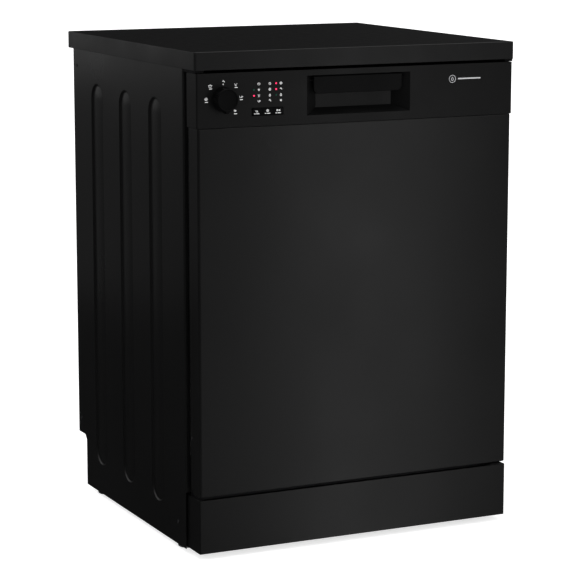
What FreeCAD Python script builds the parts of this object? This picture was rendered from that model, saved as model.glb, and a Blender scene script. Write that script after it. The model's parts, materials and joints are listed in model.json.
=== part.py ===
"""Free-standing dishwasher, 60 cm wide, as separate named pieces (FreeCAD 1.1, millimetres).

X is to the right seen from the front, -Y is the front and Z is up.  The origin lies on the floor
at the middle of the overall width and depth.  The door and both racks are closed.
"""
import FreeCAD, Part
import operator
import os
import Sketcher
from FreeCAD import Placement, Rotation, Vector
from math import pi
from types import SimpleNamespace

DIMENSIONS = {
    # case
    "case_width": 598, "worktop_depth": 590, "worktop_thickness": 30, "case_height": 850,
    "knob_proud": 18, "sheet": 0.8, "side_inset": 1, "side_setback": 51, "side_depth": 515,
    "side_bottom": 8, "side_flange": 9, "rear_flange": 12, "notch_depth": 42, "notch_height": 102,
    "bead_pitch": 136, "bead_middle": 24, "bead_width": 58, "bead_bottom": 62, "bead_top": 764,
    "bead_depth": 5, "bead_draft": 50,
    # plinth and feet
    "plinth_width": 589, "plinth_bottom": 11, "plinth_top": 103, "plinth_return": 62,
    "plinth_wall": 1.5, "foot_radius": 18, "foot_height": 10, "foot_side": 275, "foot_front": -190,
    "foot_rear": 192, "stud_radius": 5, "stud_top": 60, "stud_clearance": 0.1,
    # base
    "base_width": 569, "base_front": -215, "base_rear": 236, "base_bottom": 18, "base_top": 98,
    "base_wall": 3, "boss_radius": 9,
    # door
    "door_width": 588, "door_bottom": 108, "door_top": 725, "door_return": 37, "hinge_back": 15,
    "hinge_up": 30, "liner_back": 61, "liner_width": 560, "liner_bottom": 118, "liner_top": 812,
    "liner_depth": 20, "pin_radius": 4, "pin_clearance": 0.05, "hinge_plate": 3,
    # control panel
    "fascia_width": 592, "fascia_bottom": 726, "fascia_top": 815, "fascia_depth": 40,
    "fascia_wall": 2.5, "knob_side": -248, "knob_height": 772, "knob_radius": 20.5,
    "knob_front_radius": 19, "shaft_radius": 3, "grip_left": -97.3, "grip_right": 96.5,
    "grip_bottom": 739.5, "grip_top": 805.5, "grip_depth": 21, "grip_slope": 26,
    "grip_ledge": 10.5, "key_left": -198, "key_right": -139.5, "key_bottom": 742.5,
    "key_top": 756.5, "lamp_radius": 1.4,
    # tub
    "tub_width": 536, "tub_front": -214, "tub_rear": 258, "tub_top": 795, "tub_floor": 168,
    "rail_height": 185, "collar": 15, "seal_width": 8, "sump_radius": 85, "sump_middle": -10,
    "arm_middle": 22, "arm_length": 214, "filter_radius": 37, "filter_middle": -48,
    "salt_side": -150, "salt_middle": -80, "salt_radius": 30,
    # racks
    "wire": 2.5, "thin_wire": 1.8, "rack_width": 490, "rack_front": -189, "rack_rear": 232,
    "rack_floor": 212, "rack_rim": 330, "wheel_radius": 17.7, "wheel_height": 203,
    "front_wheel": -85, "rear_wheel": 165, "axle_radius": 3, "top_rack_front": -205,
    "top_rack_floor": 478, "top_rack_rim": 600, "runner_height": 534,
}

OPERATIONS = {"+": operator.add, "-": operator.sub, "*": operator.mul, "/": operator.truediv}


class Size:
    """A number together with the sheet expression that gives it."""

    def __init__(self, number, text):
        self.number = float(number)
        self.text = text

    def __float__(self):
        return self.number

    def __neg__(self):
        return join(0, "-", self)

    def __add__(self, other):
        return join(self, "+", other)

    def __radd__(self, other):
        return join(other, "+", self)

    def __sub__(self, other):
        return join(self, "-", other)

    def __rsub__(self, other):
        return join(other, "-", self)

    def __mul__(self, other):
        return join(self, "*", other)

    def __rmul__(self, other):
        return join(other, "*", self)

    def __truediv__(self, other):
        return join(self, "/", other)


def as_size(value):
    return value if isinstance(value, Size) else Size(value, f"{float(value):.6f}")


def join(first, sign, second):
    """The Size that an arithmetic sign makes of two values."""
    a, b = as_size(first), as_size(second)
    return Size(OPERATIONS[sign](a.number, b.number), f"({a.text} {sign} {b.text})")


doc = FreeCAD.newDocument("dishwasher")
sheet = doc.addObject("Spreadsheet::Sheet", "dims")
for row, (alias, number) in enumerate(DIMENSIONS.items(), 1):
    sheet.set(f"A{row}", str(number))
    sheet.setAlias(f"A{row}", alias)
doc.recompute()
d = SimpleNamespace(**{alias: Size(sheet.get(alias), f"dims.{alias}") for alias in DIMENSIONS})

nodes = []


def named(solid, label):
    """Give a finished piece the label that its file takes."""
    solid.Label = label
    nodes.append(solid)
    return solid


def bind(target, **sizes):
    for name, value in sizes.items():
        target.setExpression(name, as_size(value).text)
    return target


def place(target, x, y, z):
    for axis, value in zip("xyz", (x, y, z)):
        target.setExpression(f"Placement.Base.{axis}", as_size(value).text)
    return target


# ---- Part primitives and booleans -----------------------------------------------------------

TURNS = {
    "x": Rotation(Vector(0, 1, 0), 90),
    "y": Rotation(Vector(1, 0, 0), -90),
    "z": Rotation(),
}


def block(x, y, z):
    """A box from its (low, high) spans."""
    solid = doc.addObject("Part::Box", "block")
    bind(solid, Length=x[1] - x[0], Width=y[1] - y[0], Height=z[1] - z[0])
    return place(solid, x[0], y[0], z[0])


def along(axis, span, other):
    """The x, y, z of the start of a round piece, from its span and its other two coordinates."""
    first, second = other
    return {
        "x": (span[0], first, second),
        "y": (first, span[0], second),
        "z": (first, second, span[0]),
    }[axis]


def rod(axis, span, other, radius):
    """A cylinder along an axis; other holds its two other coordinates."""
    solid = doc.addObject("Part::Cylinder", "rod")
    solid.Placement = Placement(Vector(), TURNS[axis])
    bind(solid, Radius=radius, Height=span[1] - span[0])
    return place(solid, *along(axis, span, other))


def cone(axis, span, other, radii):
    solid = doc.addObject("Part::Cone", "cone")
    solid.Placement = Placement(Vector(), TURNS[axis])
    bind(solid, Radius1=radii[0], Radius2=radii[1], Height=span[1] - span[0])
    return place(solid, *along(axis, span, other))


def fuse(*pieces):
    solid = doc.addObject("Part::MultiFuse", "fusion")
    solid.Shapes = list(pieces)
    return solid


def cut(base, *tools):
    solid = doc.addObject("Part::Cut", "cut")
    solid.Base = base
    solid.Tool = tools[0] if len(tools) == 1 else fuse(*tools)
    return solid


def gather(*pieces):
    """Separate solids that share one node."""
    group = doc.addObject("Part::Compound", "group")
    group.Links = list(pieces)
    return group


def mirrored(source):
    """The same piece on the other side of the middle plane."""
    copy = doc.addObject("Part::Mirroring", "mirrored")
    copy.Source = source
    copy.Normal = Vector(1, 0, 0)
    return copy


def upright(edge):
    low, high = edge.BoundBox.ZMin, edge.BoundBox.ZMax
    return high - low > 1 and edge.BoundBox.XLength < 0.01 and edge.BoundBox.YLength < 0.01


def level(height):
    """Pick the edges that lie at one height."""
    return lambda edge: (
        abs(edge.BoundBox.ZMin - float(height)) < 0.01 and edge.BoundBox.ZLength < 0.01
    )


# ---- PartDesign bodies ----------------------------------------------------------------------

def new_body(label):
    return named(doc.addObject("PartDesign::Body", label), label)


def new_sketch(body, role, offset):
    """A sketch on one of the body's own origin planes, moved along the plane's normal."""
    sketch = body.newObject("Sketcher::SketchObject", "sketch")
    plane = next(f for f in body.Origin.OriginFeatures if f.Role == role)
    sketch.AttachmentSupport = (plane, [""])
    sketch.MapMode = "FlatFace"
    sketch.setExpression("AttachmentOffset.Base.z", as_size(offset).text)
    return sketch


def fix_point(sketch, geometry, end, point):
    """Tie one point of the sketch to its two coordinates."""
    for kind, value in zip(("DistanceX", "DistanceY"), point):
        value = as_size(value)
        index = sketch.addConstraint(
            Sketcher.Constraint(kind, -1, 1, geometry, end, value.number)
        )
        sketch.setExpression(f"Constraints[{index}]", value.text)


def draw_polygon(sketch, points):
    first = sketch.GeometryCount
    count = len(points)
    ends = [Vector(float(x), float(y), 0) for x, y in points]
    for i in range(count):
        sketch.addGeometry(Part.LineSegment(ends[i], ends[(i + 1) % count]), False)
    for i in range(count):
        follower = first + (i + 1) % count
        sketch.addConstraint(Sketcher.Constraint("Coincident", first + i, 2, follower, 1))
        fix_point(sketch, first + i, 1, points[i])


def draw_rectangle(sketch, x, y):
    draw_polygon(sketch, [(x[0], y[0]), (x[1], y[0]), (x[1], y[1]), (x[0], y[1])])


def draw_circle(sketch, x, y, radius):
    middle = Vector(float(x), float(y), 0)
    shape = Part.Circle(middle, Vector(0, 0, 1), float(radius))
    circle = sketch.addGeometry(shape, False)
    fix_point(sketch, circle, 3, (x, y))
    index = sketch.addConstraint(Sketcher.Constraint("Radius", circle, float(radius)))
    sketch.setExpression(f"Constraints[{index}]", as_size(radius).text)


def draw_slot(sketch, middle, low, high, radius):
    """An upright slot with full round ends; low and high are the middles of its rounds."""
    x, size = float(middle), float(radius)
    normal = Vector(0, 0, 1)
    top = Part.Circle(Vector(x, float(high), 0), normal, size)
    base = Part.Circle(Vector(x, float(low), 0), normal, size)
    right = (Vector(x + size, float(low), 0), Vector(x + size, float(high), 0))
    left = (Vector(x - size, float(high), 0), Vector(x - size, float(low), 0))
    a = sketch.addGeometry(Part.ArcOfCircle(top, 0, pi), False)
    b = sketch.addGeometry(Part.LineSegment(*left), False)
    c = sketch.addGeometry(Part.ArcOfCircle(base, pi, 2 * pi), False)
    e = sketch.addGeometry(Part.LineSegment(*right), False)
    for one, other in ((a, b), (b, c), (c, e), (e, a)):
        sketch.addConstraint(Sketcher.Constraint("Tangent", one, 2, other, 1))
    fix_point(sketch, a, 3, (middle, high))
    fix_point(sketch, c, 3, (middle, low))
    index = sketch.addConstraint(Sketcher.Constraint("Radius", a, size))
    sketch.setExpression(f"Constraints[{index}]", as_size(radius).text)


def add_feature(body, kind, sketch, length, backwards=False, draft=None):
    """Pad or Pocket a sketch, and make sure that it changed the solid."""
    before = body.Shape.Volume if body.Tip else 0
    feature = body.newObject(f"PartDesign::{kind}", kind.lower())
    feature.Profile = sketch
    feature.setExpression("Length", as_size(length).text)
    feature.Reversed = backwards
    if draft is not None:
        feature.setExpression("TaperAngle", as_size(draft).text)
    body.Tip = feature
    doc.recompute()
    grown = body.Shape.Volume - before
    if (grown > 0) != (kind == "Pad") or abs(grown) < 1e-3:
        raise ValueError(f"{body.Label}: {feature.Name} changed nothing")
    return feature


def pad(body, sketch, length, **more):
    return add_feature(body, "Pad", sketch, length, **more)


def pocket(body, sketch, length, **more):
    return add_feature(body, "Pocket", sketch, length, **more)


def round_edges(body, radius, picked):
    base = body.Tip
    feature = body.newObject("PartDesign::Fillet", "fillet")
    names = [f"Edge{i + 1}" for i, edge in enumerate(base.Shape.Edges) if picked(edge)]
    feature.Base = (base, names)
    feature.setExpression("Radius", as_size(radius).text)
    body.Tip = feature
    doc.recompute()


# ---- places that several pieces share -------------------------------------------------------

face = d.knob_proud - (d.worktop_depth + d.knob_proud) / 2
rear = (d.worktop_depth + d.knob_proud) / 2
worktop_under = d.case_height - d.worktop_thickness
side_outer = d.case_width / 2 - d.side_inset
side_inner = side_outer - d.sheet
side_front = face + d.side_setback
side_rear = side_front + d.side_depth
notch_rear = side_rear - d.notch_depth
hinge_y = face + d.hinge_back
hinge_z = d.door_bottom + d.hinge_up
liner_face = face + d.liner_back
liner_half = d.liner_width / 2
door_half = d.door_width / 2
door_inside = face + d.sheet
fascia_half = d.fascia_width / 2
fascia_rear = face + d.fascia_depth
fascia_inside = face + d.fascia_wall
tub_half = d.tub_width / 2
base_half = d.base_width / 2
plinth_half = d.plinth_width / 2
rack_half = d.rack_width / 2


def about(middle, half):
    return (middle - half, middle + half)


def both_sides(half):
    return (-half, half)


# ---- cabinet --------------------------------------------------------------------------------

def make_worktop():
    body = new_body("worktop")
    sketch = new_sketch(body, "XY_Plane", worktop_under)
    draw_rectangle(sketch, both_sides(d.case_width / 2), (face, rear))
    pad(body, sketch, d.worktop_thickness)
    round_edges(body, 4, upright)
    round_edges(body, 1.5, level(d.case_height))


def make_side_panels():
    """A pressed sheet with three upright beads, folded over at its front and rear edges."""
    body = new_body("side_panel_left")
    sketch = new_sketch(body, "YZ_Plane", -side_outer)
    draw_polygon(sketch, [
        (side_front, d.side_bottom), (notch_rear, d.side_bottom),
        (notch_rear, d.notch_height - 8), (notch_rear + 8, d.notch_height),
        (side_rear, d.notch_height), (side_rear, worktop_under), (side_front, worktop_under),
    ])
    pad(body, sketch, d.sheet)
    radius = d.bead_width / 2
    for step in (-1, 0, 1):
        middle = d.bead_middle + step * d.bead_pitch
        bump = new_sketch(body, "YZ_Plane", -side_inner)
        draw_slot(bump, middle, d.bead_bottom + radius, d.bead_top - radius, radius)
        pad(body, bump, d.bead_depth, draft=-d.bead_draft)
        dent = new_sketch(body, "YZ_Plane", -side_outer)
        inner = radius - d.sheet / 2
        draw_slot(dent, middle, d.bead_bottom + radius, d.bead_top - radius, inner)
        pocket(body, dent, d.bead_depth, backwards=True, draft=-d.bead_draft)
    front_fold = new_sketch(body, "XY_Plane", d.plinth_top + 3)
    draw_rectangle(
        front_fold, (-side_inner, -side_outer + d.side_flange), (side_front, side_front + d.sheet)
    )
    pad(body, front_fold, worktop_under - d.plinth_top - 3)
    rear_fold = new_sketch(body, "XY_Plane", d.notch_height)
    draw_rectangle(
        rear_fold, (-side_inner, -side_outer + d.rear_flange), (side_rear - d.sheet, side_rear)
    )
    pad(body, rear_fold, worktop_under - d.notch_height)
    named(mirrored(body), "side_panel_right")


def make_rear_panel():
    """A flat sheet that closes the back, inside the folds of the side panels."""
    body = new_body("rear_panel")
    outer = side_rear - d.sheet
    sketch = new_sketch(body, "XZ_Plane", -outer)
    draw_rectangle(sketch, both_sides(side_inner), (d.notch_height + 2, worktop_under))
    pad(body, sketch, d.sheet)
    for height in (320, 560):
        rib = new_sketch(body, "XZ_Plane", d.sheet - outer)
        draw_rectangle(rib, both_sides(side_inner - 40), (height, height + 24))
        pad(body, rib, 4)


def make_plinth():
    """A U-shaped kick plate with a short fold along its top."""
    body = new_body("plinth")
    inner = plinth_half - d.plinth_wall
    end = face + d.plinth_return
    sketch = new_sketch(body, "XY_Plane", d.plinth_bottom)
    draw_polygon(sketch, [
        (-plinth_half, face), (plinth_half, face), (plinth_half, end), (inner, end),
        (inner, face + d.plinth_wall), (-inner, face + d.plinth_wall), (-inner, end),
        (-plinth_half, end),
    ])
    pad(body, sketch, d.plinth_top - d.plinth_bottom)
    fold = new_sketch(body, "XY_Plane", d.plinth_top - d.plinth_wall)
    draw_rectangle(fold, both_sides(inner), (face + d.plinth_wall, face + 10))
    pad(body, fold, d.plinth_wall)
    round_edges(body, 2, lambda e: upright(e) and e.BoundBox.YMax < float(face) + 0.01)


def rear_ports():
    """The (side, height, radius) of what passes through the base's rear wall."""
    return ((200, 62, 15), (240, 62, 11), (-205, 62, 9))


def make_base_tray():
    """The moulded base: a tray with corner posts for the tub and bored bosses for the feet."""
    floor = d.base_bottom + d.base_wall
    outer = block(both_sides(base_half), (d.base_front, d.base_rear), (d.base_bottom, d.base_top))
    hollow = block(
        both_sides(base_half - d.base_wall),
        (d.base_front + d.base_wall, d.base_rear - d.base_wall), (floor, d.base_top + 1),
    )
    tray = cut(outer, hollow)
    extras = []
    holes = []
    for side in (-1, 1):
        for y in (d.foot_front, d.foot_rear):
            centre = (side * d.foot_side, y)
            extras.append(rod("z", (d.base_bottom, d.stud_top + 12), centre, d.boss_radius))
            bore = d.stud_radius + d.stud_clearance
            holes.append(rod("z", (d.base_bottom - 1, d.stud_top + 1), centre, bore))
        for y in (-150, 150):
            span = (base_half - 22, base_half) if side > 0 else (-base_half, 22 - base_half)
            extras.append(block(span, about(y, 14), (floor, 165)))
    for x, z, radius in rear_ports():
        holes.append(rod("y", (d.base_rear - 6, d.base_rear + 1), (x, z), radius + 0.5))
    named(cut(fuse(tray, *extras), *holes), "base_tray")


def make_feet():
    for side, side_name in ((-1, "left"), (1, "right")):
        for y, row_name in ((d.foot_front, "front"), (d.foot_rear, "rear")):
            centre = (side * d.foot_side, y)
            pad_part = cone("z", (0, d.foot_height), centre, (d.foot_radius, d.foot_radius - 3))
            grip = hexagon(centre, (d.foot_height, d.foot_height + 6), 8)
            stud = rod("z", (d.foot_height, d.stud_top), centre, d.stud_radius)
            named(fuse(pad_part, grip, stud), f"foot_{row_name}_{side_name}")


def hexagon(centre, span, radius):
    """A hexagonal collar that takes a spanner."""
    solid = doc.addObject("Part::Prism", "collar")
    solid.Polygon = 6
    bind(solid, Circumradius=radius, Height=span[1] - span[0])
    return place(solid, *centre, span[0])


def make_tub():
    """The stainless tub: a bent wrap with a front collar, a back and a stepped floor."""
    body = new_body("tub_wrap")
    outer = tub_half + d.sheet
    top = d.tub_top + d.sheet
    low = 165
    sketch = new_sketch(body, "XZ_Plane", -d.tub_rear)
    draw_polygon(sketch, [
        (-outer, low), (-tub_half, low), (-tub_half, d.tub_top), (tub_half, d.tub_top),
        (tub_half, low), (outer, low), (outer, top), (-outer, top),
    ])
    pad(body, sketch, d.tub_rear - d.tub_front)
    rim = tub_half + d.collar
    collar = new_sketch(body, "XZ_Plane", -d.tub_front - d.sheet)
    draw_polygon(collar, [
        (-rim, low), (-tub_half, low), (-tub_half, d.tub_top), (tub_half, d.tub_top),
        (tub_half, low), (rim, low), (rim, d.tub_top + d.collar), (-rim, d.tub_top + d.collar),
    ])
    pad(body, collar, d.sheet)

    back = block(both_sides(outer), (d.tub_rear, d.tub_rear + d.sheet), (150, top))
    ribs = [block(about(x, 60), (d.tub_rear, d.tub_rear + 4), (300, 700)) for x in (-150, 150)]
    named(fuse(back, *ribs), "tub_back")

    body = new_body("tub_floor")
    ledge = tub_half - 30
    bend = ledge - 12
    skin = 1
    profile = [
        (-tub_half, d.rail_height), (-ledge, d.rail_height), (-bend, d.tub_floor),
        (bend, d.tub_floor), (ledge, d.rail_height), (tub_half, d.rail_height),
        (tub_half, d.rail_height - skin), (ledge + skin / 2, d.rail_height - skin),
        (bend + skin / 2, d.tub_floor - skin), (-bend - skin / 2, d.tub_floor - skin),
        (-ledge - skin / 2, d.rail_height - skin), (-tub_half, d.rail_height - skin),
    ]
    sketch = new_sketch(body, "XZ_Plane", -d.tub_rear)
    draw_polygon(sketch, profile)
    pad(body, sketch, d.tub_rear - d.tub_front)
    apron = new_sketch(body, "XZ_Plane", -d.tub_front - skin)
    draw_polygon(apron, [
        (-tub_half, 140), (tub_half, 140), (tub_half, d.rail_height), (ledge, d.rail_height),
        (bend, d.tub_floor), (-bend, d.tub_floor), (-ledge, d.rail_height),
        (-tub_half, d.rail_height),
    ])
    pad(body, apron, skin)
    for x, y, radius in (
        (0, d.sump_middle, d.sump_radius), (d.salt_side, d.salt_middle, d.salt_radius + 1),
    ):
        hole = new_sketch(body, "XY_Plane", d.tub_floor + 1)
        draw_circle(hole, x, y, radius)
        pocket(body, hole, 3)


def make_door_seal():
    """The rubber gasket on the tub collar, and the strip below it."""
    front = liner_face + 0.5
    inner = tub_half + 1
    outer = inner + d.seal_width
    top = d.tub_top + 1
    frame = cut(
        block(both_sides(outer), (front, d.tub_front), (181, top + d.seal_width)),
        block(both_sides(inner), (front - 1, d.tub_front + 1), (180, top)),
    )
    strip = block(both_sides(outer), (front, d.tub_front), (168, 181))
    named(fuse(frame, strip), "door_seal")


def make_sump():
    """A bowl under the floor that holds the filters, with ports for the two pumps."""
    centre = (0, d.sump_middle)
    top = d.tub_floor - 1
    radius = d.sump_radius - 3
    shell = fuse(
        rod("z", (92, top), centre, radius), rod("z", (top - 3, top), centre, radius + 12),
        rod("x", (0, 100), (d.sump_middle, 118), 16), rod("x", (-100, 0), (d.sump_middle, 108), 12),
    )
    hollow = fuse(
        rod("z", (95, top + 1), centre, radius - 3), rod("x", (0, 101), (d.sump_middle, 118), 13),
        rod("x", (-101, 0), (d.sump_middle, 108), 9),
    )
    named(cut(shell, hollow), "sump")


def make_filters():
    floor = d.tub_floor
    plate = rod("z", (floor, floor + 1.5), (0, d.sump_middle), d.sump_radius + 13)
    openings = fuse(
        rod("z", (floor - 1, floor + 3), (0, d.filter_middle), d.filter_radius + 1),
        rod("z", (floor - 1, floor + 3), (0, d.arm_middle), 15.5),
    )
    named(cut(plate, openings), "flat_filter")

    centre = (0, d.filter_middle)
    cup = cut(
        rod("z", (104, floor + 4), centre, d.filter_radius),
        rod("z", (106, floor + 2), centre, d.filter_radius - 1.5),
    )
    handle = block(both_sides(24), about(d.filter_middle, 4), (floor + 3.5, floor + 15))
    named(fuse(cup, handle), "filter_cylinder")


def make_salt_supply():
    centre = (d.salt_side, d.salt_middle)
    neck_radius = d.salt_radius - 1
    tank = block((d.salt_side - 78, d.salt_side + 24), (d.salt_middle - 50, 90), (24, 140))
    neck = rod("z", (140, d.tub_floor), centre, neck_radius)
    bore = rod("z", (60, d.tub_floor + 1), centre, neck_radius - 4)
    named(cut(fuse(tank, neck), bore), "softener")
    plug = rod("z", (d.tub_floor - 14, d.tub_floor + 1), centre, neck_radius - 4.3)
    cap = rod("z", (d.tub_floor + 0.5, d.tub_floor + 6), centre, d.salt_radius)
    bar = block(about(d.salt_side, 22), about(d.salt_middle, 4),
                (d.tub_floor + 5.5, d.tub_floor + 14))
    named(fuse(plug, cap, bar), "salt_cap")


def make_pumps():
    row = d.sump_middle
    pump = fuse(
        rod("x", (100, 136), (row, 90), 46), rod("x", (136, 226), (row, 90), 40),
        rod("x", (226, 234), (row, 90), 16), block((110, 220), about(row, 30), (24, 60)),
    )
    named(pump, "circulation_pump")
    small = fuse(
        rod("y", (row - 22, row + 22), (-100, 74), 21), rod("y", (row + 22, row + 60), (-100, 74), 17),
        rod("z", (74, 108), (-106, row), 6),
    )
    named(small, "drain_pump")


def make_rear_services():
    """The inlet valve, the drain spigot and the gland of the mains lead, at the rear bottom."""
    (valve_x, z, _), (drain_x, _, _), (gland_x, _, _) = rear_ports()
    wall = d.base_rear
    valve = fuse(
        block(about(valve_x, 18), (wall - 55, wall - 8), (44, 84)),
        rod("y", (wall - 8, wall + 6), (valve_x, z), 15),
        rod("y", (wall + 6, wall + 18), (valve_x, z), 13.2),
    )
    bore = rod("y", (wall - 20, wall + 19), (valve_x, z), 8)
    named(cut(valve, bore), "inlet_valve")
    spigot = fuse(
        rod("y", (wall - 30, wall + 6), (drain_x, z), 11),
        rod("y", (wall + 6, wall + 28), (drain_x, z), 10),
        cone("y", (wall + 28, wall + 31), (drain_x, z), (10, 9)),
    )
    named(cut(spigot, rod("y", (wall - 31, wall + 32), (drain_x, z), 7.5)), "drain_outlet")
    gland = fuse(
        rod("y", (wall - 12, wall + 4), (gland_x, z), 9),
        rod("y", (wall, wall + 3), (gland_x, z), 13),
        cone("y", (wall + 4, wall + 20), (gland_x, z), (8, 6)),
    )
    named(cut(gland, rod("y", (wall - 13, wall + 21), (gland_x, z), 3.8)), "mains_gland")


def make_inlet_chamber():
    """The flat water chamber between the tub and the left side panel."""
    body = new_body("inlet_chamber")
    sketch = new_sketch(body, "YZ_Plane", -tub_half - 20)
    draw_rectangle(sketch, (-60, 190), (260, 640))
    pad(body, sketch, 20 - d.sheet)
    round_edges(body, 14, lambda e: e.BoundBox.XLength > 10 and e.BoundBox.ZLength < 0.01
                and e.BoundBox.YLength < 0.01)


def make_spray_feed():
    """The riser that carries the lower arm, and the pipe up the back to the upper arm."""
    middle = (0, d.arm_middle)
    run = d.tub_floor + 8
    back = d.tub_rear - 10
    shoulder = d.tub_floor + 21
    dock = d.top_rack_floor - 20
    solid = fuse(
        rod("z", (100, shoulder), middle, 15), rod("z", (shoulder - 1, shoulder + 14), middle, 9),
        rod("y", (d.arm_middle, back), (0, run), 6), rod("z", (run - 7, dock + 3), (0, back), 8.5),
        rod("y", (back - 26, back), (0, dock - 6), 7.5),
    )
    bores = fuse(
        rod("z", (99, shoulder + 15), middle, 5.5), rod("y", (back - 27, back), (0, dock - 6), 5),
    )
    named(cut(solid, bores), "spray_feed")


def spray_arm(centre, span, hub_span, bore_span, bore, up):
    """Two tapered blades on a hub, with a row of nozzles on the side that faces the dishes."""
    middle = Vector(float(centre[0]), float(centre[1]), 0)
    reach = float(d.arm_length)
    root_half, tip_half = 24, 13
    tip = reach - tip_half
    skew = (root_half - tip_half) / tip
    outline = [
        (-tip, -tip_half), (0, -root_half), (tip, -tip_half), (tip, tip_half), (0, root_half),
        (-tip, tip_half),
    ]
    corner = [middle + Vector(x, y, float(span[0])) for x, y in outline]
    ends = {2: reach, 5: -reach}
    edges = []
    for i, start in enumerate(corner):
        stop = corner[(i + 1) % len(corner)]
        if i in ends:
            over = middle + Vector(ends[i], 0, float(span[0]))
            edges.append(Part.Arc(start, over, stop).toShape())
        else:
            edges.append(Part.LineSegment(start, stop).toShape())
    blade = Part.Face(Part.Wire(edges)).extrude(Vector(0, 0, float(span[1] - span[0])))
    hub = Part.makeCylinder(19, float(hub_span[1] - hub_span[0]), middle + Vector(0, 0, float(hub_span[0])))
    arm = blade.fuse(hub)
    top = float(span[1]) if up else float(span[0]) - 1.5
    for side in (-1, 1):
        for step in range(5):
            x = side * (60 + 34 * step)
            y = side * (6 - 40 * skew * step)
            spot = middle + Vector(x, y, top - (0.5 if up else 0))
            arm = arm.fuse(Part.makeCylinder(4, 2, spot))
    hole = Part.makeCylinder(
        float(bore), float(bore_span[1] - bore_span[0]), middle + Vector(0, 0, float(bore_span[0]))
    )
    return arm.cut(hole).removeSplitter()


def add_shape(label, shape):
    """A piece whose shape is worked out here from the sheet's values."""
    piece = doc.addObject("Part::Feature", label)
    piece.Shape = shape
    piece.Placement = Placement()
    return named(piece, label)


def make_lower_arm():
    shoulder = d.tub_floor + 21
    span = (shoulder + 3, shoulder + 13)
    hub_span = (shoulder + 0.3, shoulder + 17)
    bore_span = (shoulder, shoulder + 14.4)
    bore = 9 + d.pin_clearance
    arm = spray_arm((0, d.arm_middle), span, hub_span, bore_span, bore, True)
    add_shape("lower_spray_arm", arm)


def make_hinge_brackets():
    """Steel plates on the base that carry the pins on which the door turns."""
    body = new_body("hinge_brackets")
    body.Label = "hinge_bracket_body"
    nodes.remove(body)
    head = 11
    sketch = new_sketch(body, "YZ_Plane", base_half)
    draw_polygon(sketch, [
        (-110, 60), (-110, 96), (-225, hinge_z + head), (hinge_y, hinge_z + head),
        (hinge_y, hinge_z - head), (-234, hinge_z - head), (-231, 60),
    ])
    pad(body, sketch, d.hinge_plate)
    pin_start = base_half + d.hinge_plate - 1
    arm_out = base_half + 2 * d.hinge_plate + 1
    other = (hinge_y, hinge_z)
    right = fuse(
        body, rod("x", (base_half, base_half + d.hinge_plate), other, head),
        rod("x", (pin_start, arm_out + 1.5), other, d.pin_radius),
        rod("x", (arm_out, arm_out + 1.5), other, 6.5),
    )
    named(gather(right, mirrored(right)), "hinge_brackets")


def make_runner_guides():
    """Channels on the tub sides in which the upper basket's runners slide."""
    span_y = (-205, 245)
    height = d.runner_height
    bar = block((tub_half - 10.5, tub_half), span_y, about(height, 12))
    groove = block((tub_half - 11, tub_half - 7), (-206, 246), about(height, 8.5))
    right = cut(bar, groove)
    named(gather(right, mirrored(right)), "runner_guides")


def make_door_strike():
    """The bent plate on the tub collar that the door latch closes on."""
    top = d.tub_top + d.collar
    foot = block(both_sides(22), (d.tub_front - 1.5, d.tub_front), (top - 6, top + 1))
    tongue = block(both_sides(15), (-244, d.tub_front), (top - 4, top - 2))
    slot = block(both_sides(7), (-241, -232), (top - 5, top - 1))
    named(cut(fuse(foot, tongue), slot), "door_strike")


def make_cabinet_screws():
    screws = []
    for side in (-1, 1):
        for y, z in ((-201, 48), (262, 130), (262, 790)):
            x = side * side_outer
            span = (x - 1, x) if side < 0 else (x, x + 1)
            screws.append(rod("x", span, (y, z), 3.2))
        for z in (180, 440, 700):
            screws.append(rod("y", (side_rear, side_rear + 1.8), (side * (side_outer - 7), z), 4))
    named(gather(*screws), "cabinet_screws")


# ---- door -----------------------------------------------------------------------------------

def make_outer_door_panel():
    """A pressed sheet; the lower corners of its side returns are cut clear of the side folds."""
    body = new_body("outer_door_panel")
    inner = door_half - d.sheet
    end = face + d.door_return
    sketch = new_sketch(body, "XY_Plane", d.door_bottom)
    draw_polygon(sketch, [
        (-door_half, face), (door_half, face), (door_half, end), (inner, end),
        (inner, door_inside), (-inner, door_inside), (-inner, end), (-door_half, end),
    ])
    pad(body, sketch, d.door_top - d.door_bottom)
    fold = new_sketch(body, "XY_Plane", d.door_bottom)
    draw_rectangle(fold, both_sides(278), (door_inside, face + 24))
    pad(body, fold, d.sheet)
    corner = new_sketch(body, "YZ_Plane", -door_half - 1)
    draw_polygon(corner, [
        (end + 1, d.door_bottom - 1), (end + 1, d.door_bottom + 7), (end, d.door_bottom + 7),
        (end - 9, d.door_bottom), (end - 9, d.door_bottom - 1),
    ])
    pocket(body, corner, d.door_width + 2, backwards=True)
    round_edges(body, 2, lambda e: upright(e) and e.BoundBox.YMax < float(face) + 0.01)


def make_inner_door_panel():
    """The stainless liner: a shallow pan with openings for the dispenser and the strike."""
    pan = cut(
        block(both_sides(liner_half), (liner_face - d.liner_depth, liner_face),
              (d.liner_bottom, d.liner_top)),
        block(both_sides(liner_half - d.sheet), (liner_face - d.liner_depth - 1,
              liner_face - d.sheet), (d.liner_bottom + d.sheet, d.liner_top - d.sheet)),
    )
    openings = fuse(
        block(both_sides(76), (liner_face - 2, liner_face + 1), (398, 532)),
        block(both_sides(24), (liner_face - 24, liner_face + 1), (d.liner_top - 11,
              d.liner_top + 1)),
    )
    named(cut(pan, openings), "inner_door_panel")


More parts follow.
